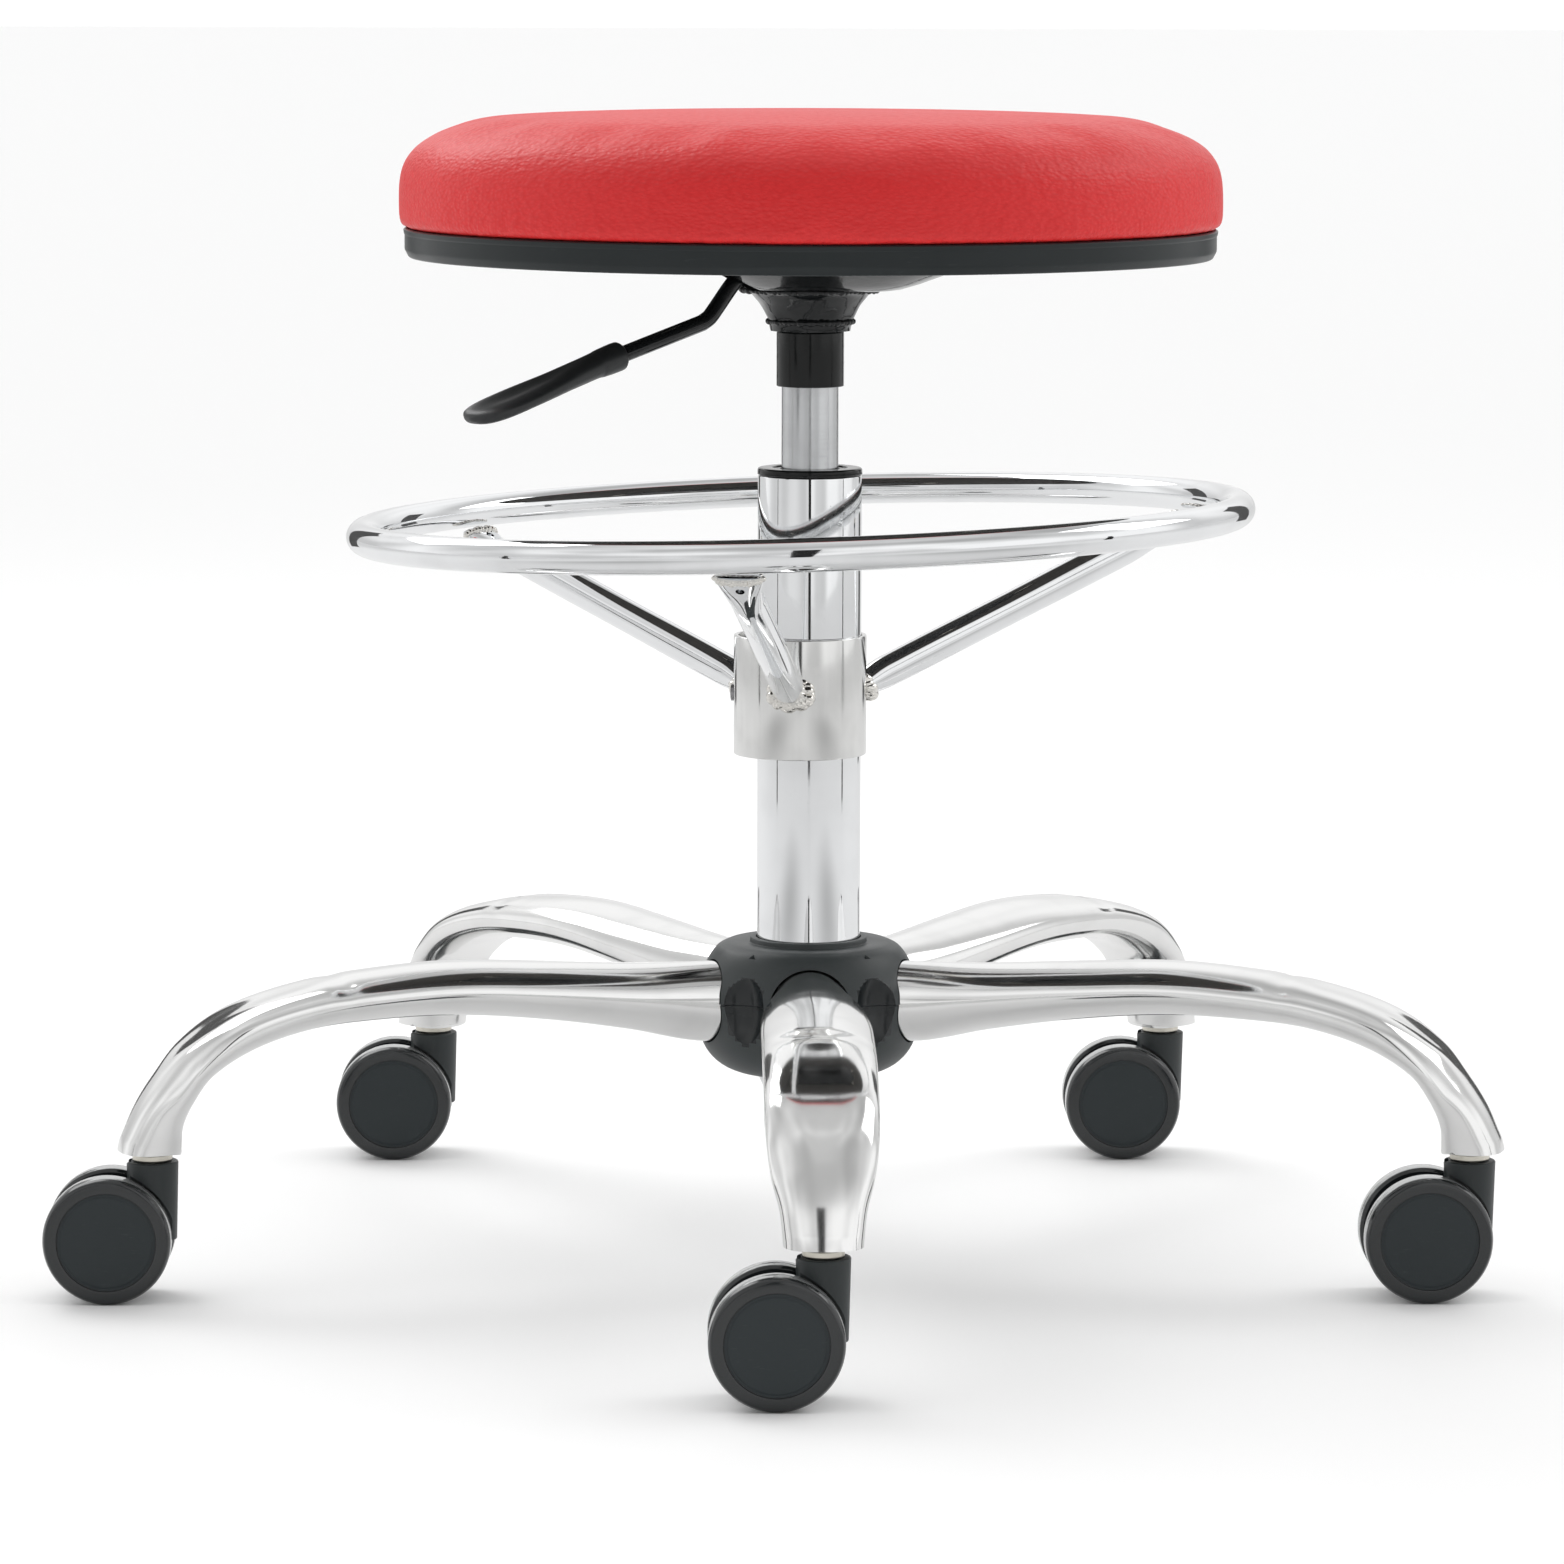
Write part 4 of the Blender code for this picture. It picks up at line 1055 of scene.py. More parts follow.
@dataclass
class Lever:
    """The bent height lever and its moulded grip."""

    angle: float = math.radians(220.0)
    slope: float = math.radians(-15.0)
    rod_radius: float = 0.0039
    path: tuple[Point, ...] = (
        (-0.0080, 0.4800), (0.0360, 0.4800), (0.0420, 0.4788), (0.0480, 0.4750), (0.0600, 0.4622),
        (0.0635, 0.4587), (0.0680, 0.4562),
    )
    grip_start: float = 0.1180
    grip: tuple[Row, ...] = (
        (0.0000, 0.0000, 0.0060, 0.0060), (0.0014, 0.0000, 0.0069, 0.0069),
        (0.0130, 0.0000, 0.0070, 0.0066), (0.0155, 0.0000, 0.0068, 0.0062),
        (0.0280, -0.0003, 0.0084, 0.0058), (0.0450, -0.0008, 0.0118, 0.0048),
        (0.0620, -0.0012, 0.0146, 0.0043), (0.0780, -0.0018, 0.0148, 0.0040),
        (0.0870, -0.0022, 0.0120, 0.0034), (0.0908, -0.0024, 0.0068, 0.0024),
        (0.0922, -0.0024, 0.0016, 0.0008),
    )
    dish: float = 0.0016
    dish_width: float = 0.55
    dish_end: float = 0.090
    dish_fade: float = 0.02
    flat_from: float = 0.018
    flat_over: float = 0.03
    squareness: float = 0.28

    def grip_mesh(self, start: Vector) -> Mesh:
        """Return the grip: a round socket that flattens into a dished paddle."""
        along = Vector((math.cos(self.slope), 0.0, math.sin(self.slope)))
        rise = Vector((-along.z, 0.0, along.x))
        rings = []
        for distance, lift, half_width, half_depth in smooth_rows(self.grip, 5):
            flat = ramped(distance, self.flat_from, self.flat_over)
            power = 1.0 - self.squareness * flat
            ring = []
            for spot in circle(1.0, 0.0, 48):
                x, y = squarer(spot, power)
                hollow = self.dish * flat * max(y, 0.0) * hump(x, 0.0, self.dish_width)
                hollow *= ramped(distance, self.dish_end, -self.dish_fade)
                middle_line = start + along * distance + rise * (lift - hollow)
                across = Vector((0.0, half_width * x, 0.0))
                ring.append(middle_line + across + rise * half_depth * y)
            rings.append(ring)
        return skin(rings, Ends.CAPPED)

    def build(self) -> None:
        """Make the rod and the grip, and dress the pin and the button."""
        place = axis_of("gas_cylinder") @ about_z(self.angle)
        fall = math.tan(self.slope)
        last = self.path[-1]
        start = Vector((self.grip_start, 0.0, last[1] + (self.grip_start - last[0]) * fall))
        end = start + Vector((math.cos(self.slope), 0.0, math.sin(self.slope))) * 0.02
        path = smooth_rows(self.path, 5) + [(start.x, start.z), (end.x, end.z)]
        stick = sweep([Vector((x, 0.0, z)) for x, z in path], self.rod_radius, 28, place)
        add_piece("height_lever", stick, ENAMEL, "lever", "black_enamel", "lever_rod")
        grip = moved(self.grip_mesh(start), place)
        add_piece("lever_paddle", grip, GRIP_PLASTIC, "lever", "grip_plastic", "lever_grip")
        dress_node("lever_pin", STEEL)
        dress_node("valve_button", STEEL)


# ---------------------------------------------------------------- lift and column
@dataclass
class Lift:
    """The gas cylinder with its sleeve, and the column that guides it."""

    cylinder: float = 0.0140
    column: float = 0.0250
    wall: float = 0.0020

    def build(self) -> None:
        """Make the cylinder, sleeve, column and bush, and dress the hidden pieces."""
        place = axis_of("gas_cylinder")
        low, high = heights("gas_cylinder")
        body = rounded((
            (0.0, high, 0.0), (self.cylinder - 0.0004, high, 0.0004),
            (self.cylinder, low + 0.0300, 0.0), (self.cylinder, low, 0.0012), (0.0054, low, 0.0003),
            (0.0054, low + 0.0100, 0.0), (0.0, low + 0.0100, 0.0),
        ), closed=False)
        add_piece("lift_cylinder", lathe(body, Ends.CAPPED, place), GROUND, "seat", "ground_steel",
                  "gas_cylinder")
        low, high = heights("taper_sleeve")
        outer = middle("taper_sleeve").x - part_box("taper_sleeve")[0][0]
        sleeve = rounded(((self.cylinder + 0.0002, high, 0.0), (outer, high, 0.0008),
                          (outer, low, 0.0006), (self.cylinder + 0.0002, low, 0.0)))
        add_piece("cylinder_sleeve", lathe(sleeve, Ends.LOOPED, place), SLEEVE_PLASTIC, "seat",
                  "black_plastic", "taper_sleeve")
        place = axis_of("column_tube")
        low, high = heights("column_tube")
        inner = self.column - self.wall
        tube = rounded((
            (inner, high, 0.0), (self.column, high, 0.0006), (self.column, low + 0.012, 0.004),
            (0.0226, low + 0.007, 0.003), (0.0197, low, 0.001), (0.0058, low, 0.0),
            (0.0058, low + 0.003, 0.0), (0.0180, low + 0.003, 0.0), (inner, low + 0.013, 0.0),
        ))
        add_piece("column", lathe(tube, Ends.LOOPED, place, 128), CHROME, "base", "polished_chrome",
                  "column_tube")
        rim = high + 0.0003
        low, high = heights("guide_bush")
        bore = self.cylinder + 0.0003
        bush = rounded((
            (bore, high - 0.0006, 0.0004), (bore + 0.0035, high - 0.0006, 0.0),
            (bore + 0.0040, high, 0.0004), (self.column + 0.0002, high, 0.0014),
            (self.column + 0.0002, rim, 0.0005), (inner - 0.0002, rim, 0.0),
            (inner - 0.0002, low, 0.0), (bore, low, 0.0),
        ))
        add_piece("column_bush", lathe(bush, Ends.LOOPED, place), SLEEVE_PLASTIC, "base",
                  "black_plastic", "guide_bush")
        for node, finish in (("piston_rod", GROUND), ("retaining_clip", STEEL),
                             ("thrust_bearing", STEEL),
                             ("bump_stop", RUBBER), ("hub_core", STEEL)):
            dress_node(node, finish)


# ---------------------------------------------------------------- foot rest
@dataclass
class FootRest:
    """The foot ring, its three arms and the collar that clamps it on the column."""

    radius: float = 0.2105
    tube: float = 0.0078
    lean: Point = (math.radians(-0.75), math.radians(-2.0))
    collar: float = 0.0320
    collar_wall: float = 0.0022
    bead_radii: Point = (0.0034, 0.0017)
    bead_pitch: float = 0.0021
    hole_radius: float = 0.0021
    hole_line: tuple[Point, Point] = ((0.1935, 0.3560), (0.2040, 0.3300))
    screw_hole_radius: float = 0.0043
    first_arm: float = math.radians(-9.0)
    clamp_angle: float = math.radians(170.0)
    sections: tuple[Row, ...] = (
        (0.0318, 0.2780, 0.0090, 0.0056), (0.0345, 0.2794, 0.0084, 0.0064),
        (0.0450, 0.2838, 0.0078, 0.0078), (0.1100, 0.3101, 0.0078, 0.0078),
        (0.1720, 0.3352, 0.0078, 0.0078), (0.1830, 0.3388, 0.0084, 0.0058),
        (0.1930, 0.3425, 0.0092, 0.0038), (0.2000, 0.3466, 0.0106, 0.0029),
        (0.2050, 0.3500, 0.0106, 0.0026),
    )

    def arm(self, rise: float) -> tuple[Mesh, list[list[Vector]]]:
        """Make one arm along -Y.

        Args:
            rise: How much higher than its middle the ring is where the arm meets it.

        Returns:
            The arm's mesh, and its first and last rings for the welds.
        """
        inner, outer = self.sections[0][0], self.sections[-1][0]
        rows = [(reach, height + rise * (reach - inner) / (outer - inner), width, depth)
                for reach, height, width, depth in self.sections]
        rows = smooth_rows(rows, 5)
        rings = []
        for (reach, height, width, depth), slope in zip(rows, path_slopes(rows, 0.35, 0.75)):
            ring = []
            for spot in circle(1.0, 0.0, 40):
                lift = depth * spot.y
                ring.append(Vector((width * spot.x, -(reach - lift * math.sin(slope)),
                                    height + lift * math.cos(slope))))
            rings.append(ring)
        start, end = (Vector((0.0, -reach, height + rise)) for reach, height in self.hole_line)
        mesh = carved(skin(rings, Ends.CAPPED), [rod(start, end, self.hole_radius, 20)])
        return mesh, [rings[1], rings[-3]]

    def build(self) -> None:
        """Make the ring, arms, welds, collar and screw."""
        centre = middle("foot_ring")
        hoop = ring_tool().run(loop_mesh(circle(1.0, 0.0, 8)), CHROME, Hoop_Radius=self.radius,
                               Tube_Radius=self.tube)
        tilt = Matrix.Rotation(self.lean[1], 4, "Y") @ Matrix.Rotation(self.lean[0], 4, "X")
        hoop = cleaned(moved(hoop, Matrix.Translation(centre) @ tilt))
        add_piece("foot_hoop", hoop, CHROME, "foot_rest", "ring_chrome", "foot_ring")
        bead = bead_tool()
        place = Matrix.Translation((centre.x, centre.y, 0.0))
        for number in range(3):
            turn = self.first_arm + math.tau * number / 3
            rise = -math.cos(turn) * math.sin(self.lean[0])
            rise -= math.sin(turn) * math.sin(self.lean[1])
            arm, lines = self.arm(rise * self.radius)
            spot = place @ about_z(turn)
            add_piece(f"hoop_arm_{number + 1}", moved(arm, spot), CHROME, "foot_rest",
                      "ring_chrome", f"ring_arm_{number + 1}")
            welds = []
            for end, line in enumerate(lines):
                welds.append(bead.run(loop_mesh(line), WELD_CHROME, Pitch=self.bead_pitch,
                                      Bead_Radius=self.bead_radii[end], Seed=10 + 2 * number + end))
            weld = pressed_out(joined(*welds), self.collar - self.collar_wall / 2)
            add_piece(f"arm_weld_{number + 1}", moved(weld, spot), WELD_CHROME, "foot_rest",
                      "ring_chrome")
        low, high = heights("ring_collar")
        inner = self.collar - self.collar_wall
        profile = rounded(((inner, high, 0.0005), (self.collar, high, 0.0006),
                           (self.collar, low, 0.0006), (inner, low, 0.0005)), 3)
        away = Vector((math.cos(self.clamp_angle), math.sin(self.clamp_angle), 0.0))
        height = Vector((0.0, 0.0, (low + high) / 2))
        hole = rod(height + away * 0.020, height + away * 0.050, self.screw_hole_radius, 32)
        collar = carved(lathe(profile, Ends.LOOPED), [hole])
        add_piece("clamp_collar", moved(collar, place), SATIN, "foot_rest", "satin_chrome",
                  "ring_collar")
        dress_node("clamp_screw", STEEL)


# ---------------------------------------------------------------- base
@dataclass
class Hub:
    """The two-part cover over the welded middle of the base."""

    radius: float = 0.0555
    seam: float = 0.1284
    rim: float = 0.0282
    cavity: float = 0.0400
    core: float = 0.0306
    port: float = 0.0201
    port_height: float = 0.1275
    port_span: Point = (0.029, 0.070)
    bore: float = 0.0256
    gap: float = 0.00025
    hollow: Row = (0.0132, 0.0125, 0.0215)
    hollow_reach: float = 0.0600
    hollow_skin: float = 0.035
    notch: tuple[Row, Row] = ((0.0450, 0.0, 0.1525), (0.0030, 0.0024, 0.0030))
    notch_turns: Point = (math.radians(-128.0), math.radians(-52.0))
    belly: Row = (0.0300, 0.0230, 0.1140)

    def cutters(self) -> list[Mesh]:
        """Return the leg openings and the finger hollows."""
        made = []
        for number in range(5):
            turn = about_z(math.tau * number / 5)
            start, end = (turn @ Vector((0.0, -reach,
                                         self.port_height)) for reach in self.port_span)
            made.append(rod(start, end, self.port, 64))
            between = about_z(math.tau * (number + 0.5) / 5)
            shape = between @ Matrix.Translation((0.0, -self.hollow_reach, self.seam))
            shape = shape @ Matrix.Diagonal((*self.hollow, 1.0))
            bends = [math.pi * step / 24 for step in range(25)]
            arc = [(max(math.sin(bend), 0.0), -math.cos(bend)) for bend in bends]
            made.append(lathe(arc, Ends.CAPPED, shape, 48))
        return made

    def polish(self, piece: bpy.types.Object, centre: Vector) -> None:
        """Give the finger hollows their tool's smooth finish, and a darker colour as painted shade.
        """
        piece.data.materials.append(HOLLOW_SHADED_PLASTIC.material(f"{piece.name}_hollow"))
        for face in piece.data.polygons:
            spot = face.center - centre
            bearing = math.atan2(spot.x, -spot.y) / math.tau * 5 - 0.5
            turn = (round(bearing) + 0.5) * math.tau / 5
            pole = Vector((math.sin(turn), -math.cos(turn), 0.0)) * self.hollow_reach
            away = Matrix.Rotation(-turn, 3, "Z") @ (spot - pole - Vector((0.0, 0.0, self.seam)))
            reach = math.hypot(*(part / size for part, size in zip(away, self.hollow)))
            if abs(reach - 1.0) < self.hollow_skin:
                face.material_index = 1

    def build(self) -> None:
        """Make both halves of the cover."""
        place = axis_of("column_tube")
        low, high = heights("hub_cover_bottom")[0], heights("hub_cover_top")[1]
        shoulder = smooth_rows(((0.0395, 0.1545), (0.0440, 0.1522), (0.0480, 0.1472),
                                (0.0512, 0.1410),
                                (0.0545, 0.1345), (self.radius, self.seam + self.gap)), 4)
        inner = [(self.cavity, self.seam + self.gap), (self.cavity, 0.1482), (self.core, 0.1515),
                 (self.bore, 0.1515)]
        rim = rounded(((self.bore, high, 0.0004), (self.rim, high, 0.0008),
                       (self.rim + 0.0002, high - 0.0027, 0.0006),
                       (self.rim + 0.0030, high - 0.0025, 0.0),
                       (self.rim + 0.004, high - 0.0025, 0.0)), 3, False)
        top = lathe(rim + shoulder + inner, Ends.LOOPED, sides=160)
        top = carved(top, self.cutters())
        where, size = self.notch
        spots = [about_z(turn) @ Matrix.Translation(where) for turn in self.notch_turns]
        top = carved(top, [block(size, spot @ about_z(math.pi / 4)) for spot in spots])
        upper = add_piece("hub_shell_top", moved(top, place), HUB_PLASTIC, "base", "hub_plastic",
                          "hub_cover_top")
        self.polish(upper, place.translation)
        reach, swell, level = self.belly
        bends = [math.radians(angle) for angle in range(0, 91, 6)]
        belly = [(reach + swell * math.cos(bend), level - (level - low) * math.sin(bend))
                 for bend in bends]
        outline = [(self.cavity, self.seam), (self.radius - 0.0008, self.seam),
                   (self.radius - 0.0004, self.seam - 0.0006)]
        inside = [(self.bore, low), (self.bore, 0.1017), (self.core + 0.0003, 0.1017),
                  (self.cavity, 0.1085)]
        bottom = carved(lathe(outline + belly + inside, Ends.LOOPED, sides=160), self.cutters())
        lower = add_piece("hub_shell_bottom", moved(bottom, place), HUB_PLASTIC, "base",
                          "hub_plastic", "hub_cover_bottom")
        self.polish(lower, place.translation)


@dataclass
class Legs:
    """The five formed legs: round at the hub, flattened, bent down and squeezed at the caster."""

    wall: float = 0.0022
    plug_depth: float = 0.0030
    kink: float = 0.0009
    valley: float = 0.0016
    waist: float = 0.30
    squareness: float = 0.20
    squared_from: float = 0.55
    squared_over: float = 0.30
    waist_at: float = 0.875
    waist_length: float = 0.055
    kink_at: float = 0.625
    kink_length: float = 0.012
    valley_rise: float = 0.05
    valley_end: float = 0.90
    valley_fade: float = 0.06
    valley_width: float = 0.42
    sections: tuple[Row, ...] = (
        (0.0312, 0.1275, 0.0192, 0.0194), (0.0560, 0.1278, 0.0195, 0.0193),
        (0.0900, 0.1320, 0.0226, 0.0160), (0.1350, 0.1372, 0.0248, 0.0137),
        (0.1800, 0.1406, 0.0257, 0.0127), (0.2200, 0.1394, 0.0258, 0.0117),
        (0.2523, 0.1358, 0.0258, 0.0107), (0.2830, 0.1269, 0.0256, 0.0102),
        (0.3059, 0.1131, 0.0250, 0.0095), (0.3172, 0.0985, 0.0228, 0.0098),
        (0.3242, 0.0850, 0.0192, 0.0115), (0.3280, 0.0705, 0.0176, 0.0145),
    )

    def ring(self, row: Row, slope: float, along: float, inset: float = 0.0) -> list[Vector]:
        """Return one cross-section.

        Args:
            row: Reach, height, half width and half depth.
            slope: Of the leg's middle line.
            along: How far along the leg it is, from 0 to 1.
            inset: How much smaller than the outside it is.

        Returns:
            The ring's points.
        """
        reach, height, half_width, half_depth = row
        power = 1.0 - self.squareness * ramped(along, self.squared_from, self.squared_over)
        narrow = self.waist * hump(along, self.waist_at, self.waist_length)
        kink = self.kink * hump(along, self.kink_at, self.kink_length)
        after = ramped(along, self.kink_at, self.valley_rise)
        after *= ramped(along, self.valley_end, -self.valley_fade)
        ring = []
        for spot in circle(1.0, 0.0, 56):
            x, y = squarer(spot, power)
            upper = max(y, 0.0)
            dent = upper * (kink + self.valley * after * hump(x, 0.0, self.valley_width))
            across = (half_width - inset) * x * (1.0 - narrow * upper)
            rise = (half_depth - inset) * y - dent
            ring.append(Vector((across, -(reach - rise * math.sin(slope)),
                                height + rise * math.cos(slope))))
        return ring

    def mesh(self) -> Mesh:
        """Return one leg along -Y, open at its end down to a plug."""
        rows = smooth_rows(self.sections, 8)
        slopes = path_slopes(rows, 0.0, -math.pi / 2)
        places = step_lengths(rows)
        rings = [self.ring(row, slope, place / places[-1])
                 for row, slope, place in zip(rows, slopes, places)]
        end = rows[-1]
        for inset, lift in ((self.wall * 0.25, 0.0), (self.wall, 0.0),
                            (self.wall, self.plug_depth)):
            rings.append(self.ring((end[0], end[1] + lift, *end[2:]), slopes[-1], 1.0, inset))
        return skin(rings, Ends.CAPPED)

    def build(self) -> None:
        """Set the legs round the hub."""
        mesh = self.mesh()
        place = axis_of("column_tube")
        for number in range(5):
            turn = about_z(math.tau * number / 5)
            add_piece(f"base_leg_{number + 1}", moved(mesh, place @ turn), LEG_CHROME, "base",
                      "leg_chrome", f"leg_{number + 1}", sharp=math.radians(50))


@dataclass
class Casters:
    """Five twin-wheel casters with plain wheel discs."""

    radius: float = 0.0300
    width: float = 0.0145
    trail: float = 0.0205
    web: float = 0.0126
    hood_top: float = 0.0655
    hood_bottom: float = 0.0280
    hood_radius: float = 0.0122
    boss: float = 0.0100

    def wheel(self) -> Mesh:
        """Return a wheel about its centre, its closed face towards +Z."""
        half = self.width / 2
        profile = rounded((
            (0.0, half - 0.0009, 0.0), (0.0232, half - 0.0009, 0.0), (0.0234, half, 0.0004),
            (self.radius - 0.0012, half - 0.0003, 0.0022), (self.radius, half - 0.0030, 0.0016),
            (self.radius, 0.0012 - half, 0.0010), (self.radius - 0.0014, -half, 0.0008),
            (0.0043, -half, 0.0004), (0.0043, half - 0.0050, 0.0), (0.0, half - 0.0050, 0.0),
        ), 5, False)
        return lathe(profile, Ends.CAPPED)

    def disc(self) -> Mesh:
        """Return the plain matt disc let into the wheel's face."""
        face = self.width / 2 - 0.0004
        profile = rounded(((0.0, face, 0.0), (0.0212, face, 0.0006),
                           (0.0220, face - 0.0004, 0.0002),
                           (0.0230, face - 0.0003, 0.0002), (0.0231, face - 0.0012, 0.0),
                           (0.0, face - 0.0012, 0.0)), 3, False)
        return lathe(profile, Ends.CAPPED)

    def tread(self) -> Mesh:
        """Return the polished band round the wheel."""
        half = self.width / 2
        profile = rounded(((self.radius + 0.00008, half - 0.0034, 0.0004),
                           (self.radius + 0.00008, 0.0016 - half, 0.0004),
                           (self.radius - 0.0008, 0.0016 - half, 0.0),
                           (self.radius - 0.0008, half - 0.0034, 0.0)), 2)
        return lathe(profile, Ends.LOOPED)

    def hood(self) -> Mesh:
        """Return a caster's body about its swivel axis, trailing towards -X."""
        barrel = rounded(((0.0, self.hood_bottom, 0.0),
                          (self.hood_radius - 0.0010, self.hood_bottom, 0.0008),
                          (self.hood_radius, self.hood_top, 0.0010),
                          (0.0072, self.hood_top, 0.0006), (0.0066, self.hood_top - 0.0030, 0.0),
                          (0.0, self.hood_top - 0.0030, 0.0)), 4, False)
        shape = lathe(barrel, Ends.CAPPED, sides=64)
        outline = [Vector((0.0080, 0.0, self.hood_bottom + 0.0010)), Vector((0.0080, 0.0, 0.0600)),
                   Vector((-0.0070, 0.0, 0.0570))]
        for step in range(13):
            turn = math.radians(100.0 + 170.0 * step / 12)
            outline.append(Vector((-self.trail + self.boss * math.cos(turn), 0.0,
                                   self.radius + self.boss * math.sin(turn))))
        half = Vector((0.0, self.web / 2, 0.0))
        web = skin([[point + half for point in outline], [point - half for point in outline]],
                   Ends.CAPPED)
        wells = []
        for side in (-1, 1):
            span = (self.web / 2, 0.030)
            start, end = (Vector((-self.trail, side * y, self.radius)) for y in span)
            wells.append(rod(start, end, self.radius + 0.0012, 96))
        notch = Matrix.Translation((-0.0118, 0.0, self.hood_top))
        wells.append(block((0.0040, 0.0075, 0.0030), notch))
        return carved(carved(shape, [web], Carve.JOIN), wells)

    def stem(self) -> Mesh:
        """Return a caster's stem: its domed shoulder between hood and leg, and its pin."""
        low = self.hood_top - 0.0025
        profile = rounded(((0.0, 0.0860, 0.0), (0.0055, 0.0860, 0.0004), (0.0055, 0.0702, 0.0),
                           (0.0078, 0.0702, 0.0004), (0.0094, 0.0688, 0.0008),
                           (0.0094, 0.0660, 0.0006),
                           (0.0060, 0.0658, 0.0), (0.0060, low, 0.0), (0.0, low, 0.0)), 4, False)
        return lathe(profile, Ends.CAPPED, sides=56)

    def build(self) -> None:
        """Set the casters under the legs."""
        hood, stem = self.hood(), self.stem()
        parts = (("tyre", self.wheel(), WHEEL_PLASTIC), ("disc", self.disc(), DISC_PLASTIC),
                 ("tread", self.tread(), TREAD))
        for number in range(1, 6):
            name = f"caster_{number}"
            place = axis_of(f"{name}_stem")
            add_piece(f"{name}_pin", moved(stem, place), ZINC, "base", "zinc_steel", f"{name}_stem")
            add_piece(f"{name}_body", moved(hood, place), HOOD_PLASTIC, name, "caster_plastic",
                      f"{name}_hood", sharp=math.radians(30))
            dress_node(f"{name}_axle", STEEL)
            for side, turn in (("a", math.pi / 2), ("b", -math.pi / 2)):
                body = f"{name}_wheel_{side}"
                spot = Matrix.Translation((*middle(body)[:2], self.radius))
                spot = spot @ Matrix.Rotation(turn, 4, "X")
                for part, mesh, finish in parts:
                    label = f"{name}_{part}_{side}"
                    nodes = [body] if part == "tyre" else []
                    add_piece(label, moved(mesh, spot), finish, body, "wheel_plastic", *nodes)


# ---------------------------------------------------------------- studio
@dataclass(frozen=True)
class Flag:
    """A dark panel that stands out of the camera's sight for the plating to mirror.

    It has a bearing and a distance from the column, a width at its foot and top, and a height.
    """

    bearing: float
    foot: float
    top: float
    height: float
    distance: float = 2.2
    shade: float = 0.02


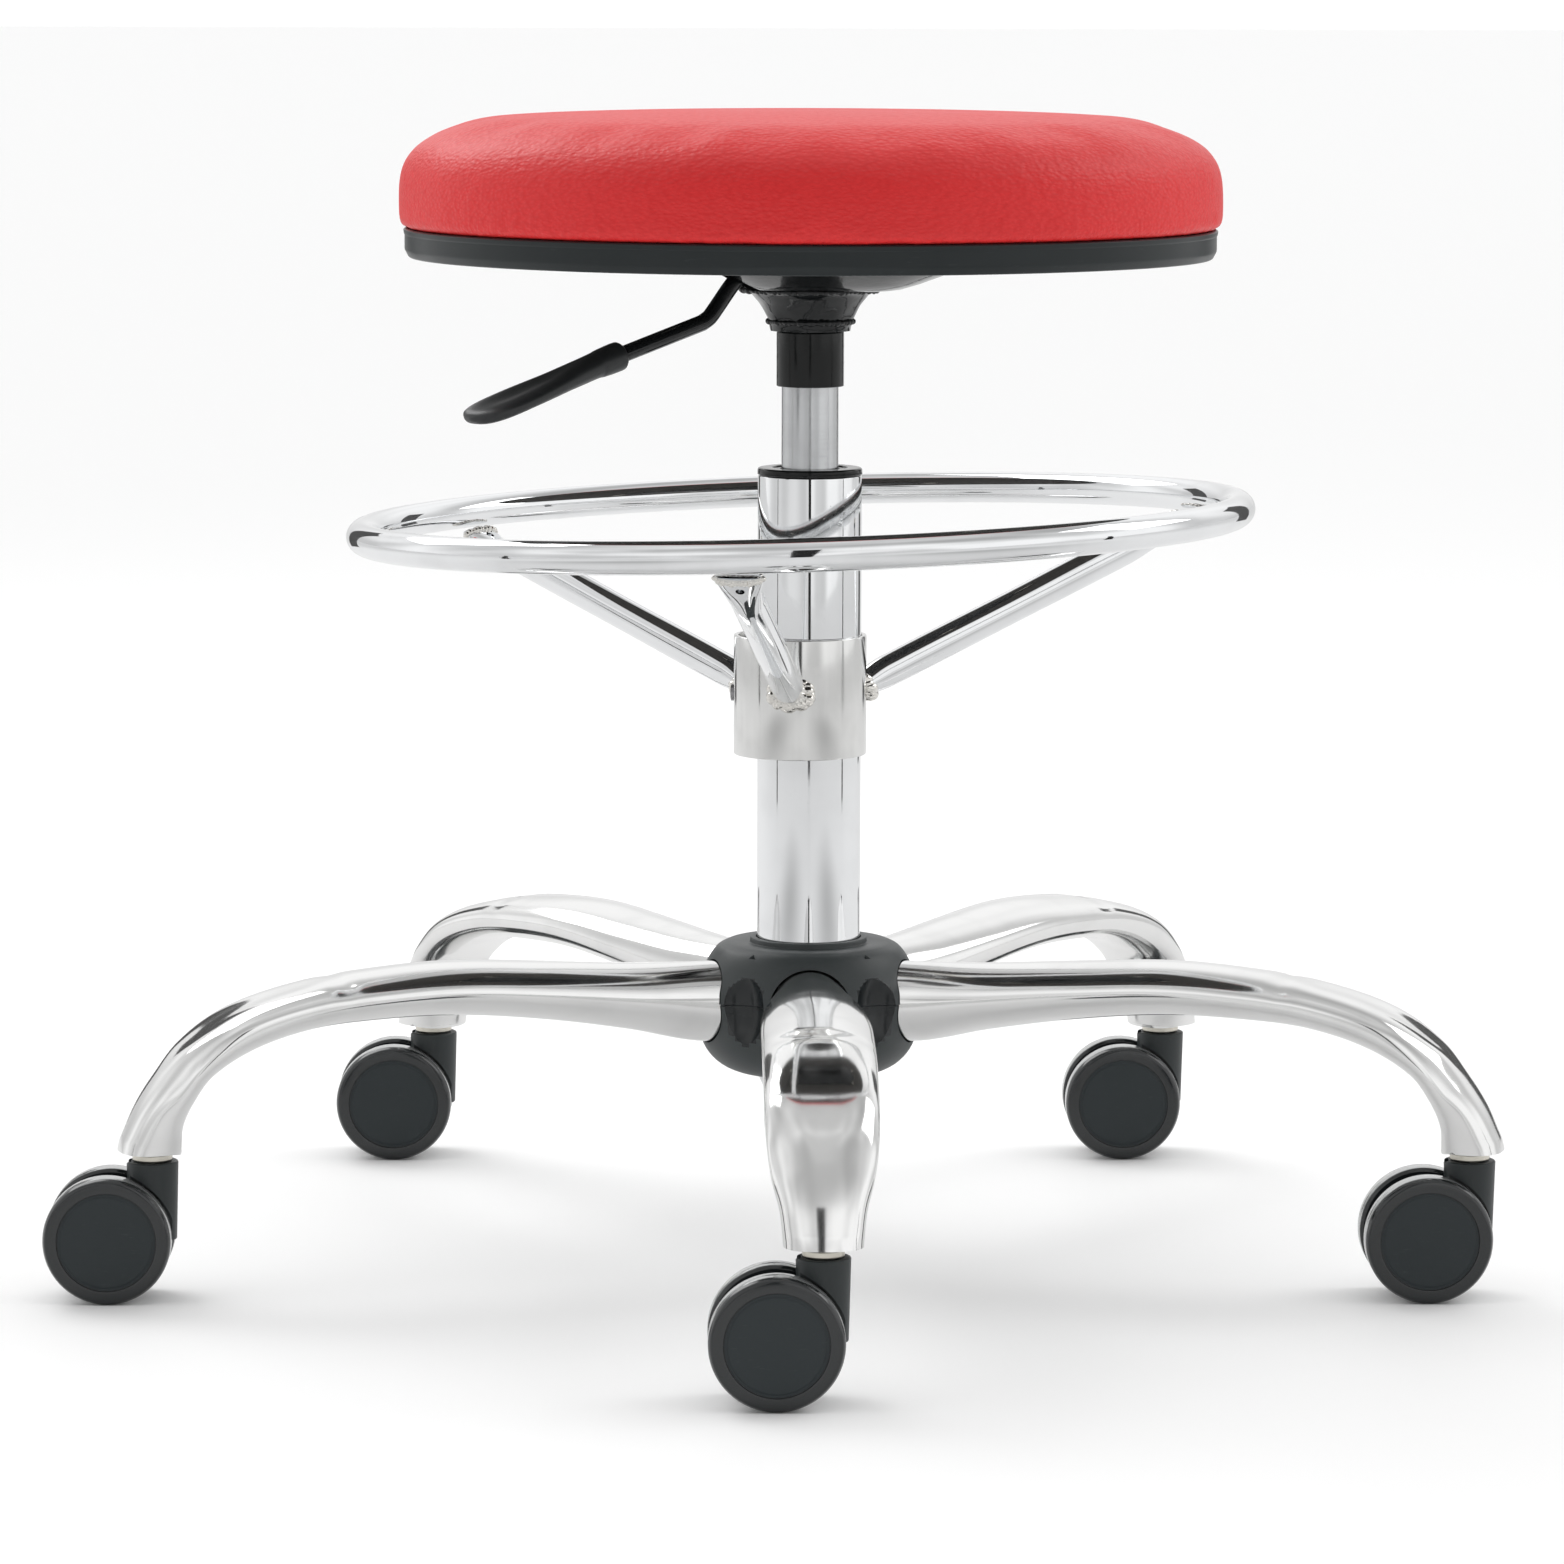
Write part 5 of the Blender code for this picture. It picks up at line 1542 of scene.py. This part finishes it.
@dataclass
class Studio:
    """A pale floor, dark panels for the plating to mirror, soft white light and the camera."""

    floor_reach: float = 60.0
    panel_lift: float = 0.001
    ambient: float = 1.20
    front_loss: float = 0.88
    distance: float = 3.0476
    eye_height: float = 0.6243
    swing: float = math.radians(-1.24)
    pitch: float = math.radians(7.766)
    aside: float = math.radians(0.243)
    roll: float = math.radians(0.156)
    lens: float = 146.196
    shift: float = 0.0307
    flags: tuple[Flag, ...] = (
        Flag(math.radians(-91.0), 0.26, 0.40, 2.6, 2.9),
        Flag(math.radians(-166.0), 0.10, 0.04, 0.55),
        Flag(math.radians(-12.0), 0.12, 0.05, 0.55),
        Flag(math.radians(118.0), 0.45, 0.45, 1.1, shade=0.10),
        Flag(math.radians(54.0), 0.45, 0.45, 1.1, shade=0.10),
    )
    floor_shade: float = 0.98
    floor_mirrored: float = 0.70
    patch_shade: float = 0.42
    patch_along: Point = (-0.85, 0.95)
    patch_across: Point = (0.80, 0.70)
    dimmest: float = 0.60
    ceiling: Point = (0.82, 0.24)
    ceiling_loss: float = 0.30
    front: Point = (-0.10, -0.80)
    lamps: tuple[tuple[str, Row, float, float, float], ...] = (
        ("key_panel", (-1.3, 1.5, 2.2), 0.45, 1.5, 18.0),
        ("fill_panel", (2.1, 0.6, 2.0), 0.40, 1.3, 10.0),
    )

    def camera(self) -> None:
        """Stand the camera in front of the stool."""
        data = bpy.data.cameras.new("camera")
        data.lens = self.lens
        data.sensor_width = 36.0
        data.shift_y = self.shift
        item = in_scene("camera", data)
        item.matrix_world = (
            axis_of("column_tube") @ about_z(self.swing)
            @ Matrix.Translation((0.0, -self.distance, self.eye_height))
            @ about_z(self.aside)
            @ Matrix.Rotation(math.pi / 2 - self.pitch, 4, "X")
            @ about_z(self.roll)
        )
        bpy.context.scene.camera = item

    def sheet(self, name: str, corners: Sequence[Row], material: bpy.types.Material,
              mirrored_only: bool = False) -> None:
        """Put a flat sheet into the studio.

        Args:
            name: What it is called.
            corners: Its four corners.
            material: What it is made of.
            mirrored_only: Whether only mirroring surfaces see it.
        """
        mesh = shaped(corners, [], [(0, 1, 2, 3)])
        mesh.name = name
        mesh.materials.append(material)
        item = in_scene(name, mesh)
        if mirrored_only:
            item.visible_camera = item.visible_diffuse = item.visible_shadow = False

    def floor(self) -> None:
        """Lay the floor, which is greyer in a mirror and has two soft darker patches there."""
        material = bpy.data.materials.new("studio_floor")
        material.use_nodes = True
        nodes = Nodes(material.node_tree)
        mirrored = nodes.add("ShaderNodeLightPath", out="Is Glossy Ray")
        pale, grey, dark = ((shade,) * 3 for shade in (self.floor_shade, self.floor_mirrored,
                                                       self.patch_shade))
        across, along = (nodes.axis(nodes.place(), number) for number in range(2))
        offset, width = self.patch_across
        patch = along.near(*self.patch_along) * (across.near(offset, width) + across.near(-offset,
                                                                                          width))
        grey = nodes.blended(patch, grey, dark)
        shader = material.node_tree.nodes["Principled BSDF"]
        shader.inputs["Roughness"].default_value = 0.6
        shader.inputs["Specular IOR Level"].default_value = 0.1
        material.node_tree.links.new(nodes.blended(mirrored, pale, grey).socket,
                                     shader.inputs["Base Color"])
        reach = self.floor_reach
        self.sheet("studio_floor", [(-reach, -reach, 0), (reach, -reach, 0), (reach, reach, 0),
                                    (-reach, reach, 0)], material)

    def panels(self) -> None:
        """Stand the dark panels, which only mirroring surfaces see."""
        for number, flag in enumerate(self.flags):
            name, half, top = f"flag_{number + 1}", flag.foot / 2, flag.top / 2
            place = axis_of("column_tube") @ about_z(flag.bearing)
            place = place @ Matrix.Translation((flag.distance, 0.0, self.panel_lift))
            corners = [(0, -half, 0), (0, half, 0), (0, top, flag.height), (0, -top, flag.height)]
            black = Finish((flag.shade,) * 3, 0.9, specular=0.0).material(name)
            self.sheet(name, [place @ Vector(corner) for corner in corners], black, True)

    def world(self) -> None:
        """Light everything from a white room, which is uneven and darker overhead in a mirror."""
        world = bpy.data.worlds.new("studio")
        bpy.context.scene.world = world
        world.use_nodes = True
        nodes = Nodes(world.node_tree)
        way = nodes.add("ShaderNodeTexCoord", out="Generated")
        height = nodes.axis(way, 2)
        uneven = nodes.grain(way, 1.7, 1.0).over(0.30, 0.70) * (1.0 - self.dimmest) + self.dimmest
        ceiling = 1.0 - height.near(*self.ceiling) * self.ceiling_loss
        front = nodes.axis(way, 1).over(*self.front)
        paths = nodes.add("ShaderNodeLightPath", out="Is Glossy Ray")
        diffuse = nodes.add("ShaderNodeLightPath", out="Is Diffuse Ray")
        soft = 1.0 - diffuse * front * self.front_loss
        seen = paths * (uneven * ceiling - self.ambient) + self.ambient * soft
        back = world.node_tree.nodes["Background"]
        world.node_tree.links.new(seen.socket, back.inputs["Strength"])
        back.inputs["Color"].default_value = (1.0, 1.0, 1.0, 1.0)

    def lamp(self, name: str, place: Row, aim: float, size: float, power: float) -> None:
        """Hang one large soft light.

        Args:
            name: What it is called.
            place: Where it hangs.
            aim: The height on the Z axis that it faces.
            size: The length of its sides.
            power: In watts.
        """
        data = bpy.data.lights.new(name, "AREA")
        data.shape = "SQUARE"
        data.size = size
        data.energy = power
        item = in_scene(name, data)
        facing = (Vector((0.0, 0.0, aim)) - Vector(place)).to_track_quat("-Z", "Y")
        item.matrix_world = Matrix.Translation(place) @ facing.to_matrix().to_4x4()

    def build(self) -> None:
        """Set the studio up."""
        self.camera()
        self.floor()
        self.panels()
        self.world()
        for lamp in self.lamps:
            self.lamp(*lamp)
        view = bpy.context.scene.view_settings
        view.view_transform = "Standard"
        LOG.info("studio ready")


def main() -> None:
    """Build the studio and every sub-assembly, in order."""
    logging.basicConfig(level=logging.INFO, format="%(name)s %(message)s")
    for assembly in (Studio(), SeatPad(), SeatBoard(), SeatPlate(), Lever(), Lift(), FootRest(),
                     Hub(), Legs(),
                     Casters()):
        assembly.build()


if __name__ == "__main__":
    main()
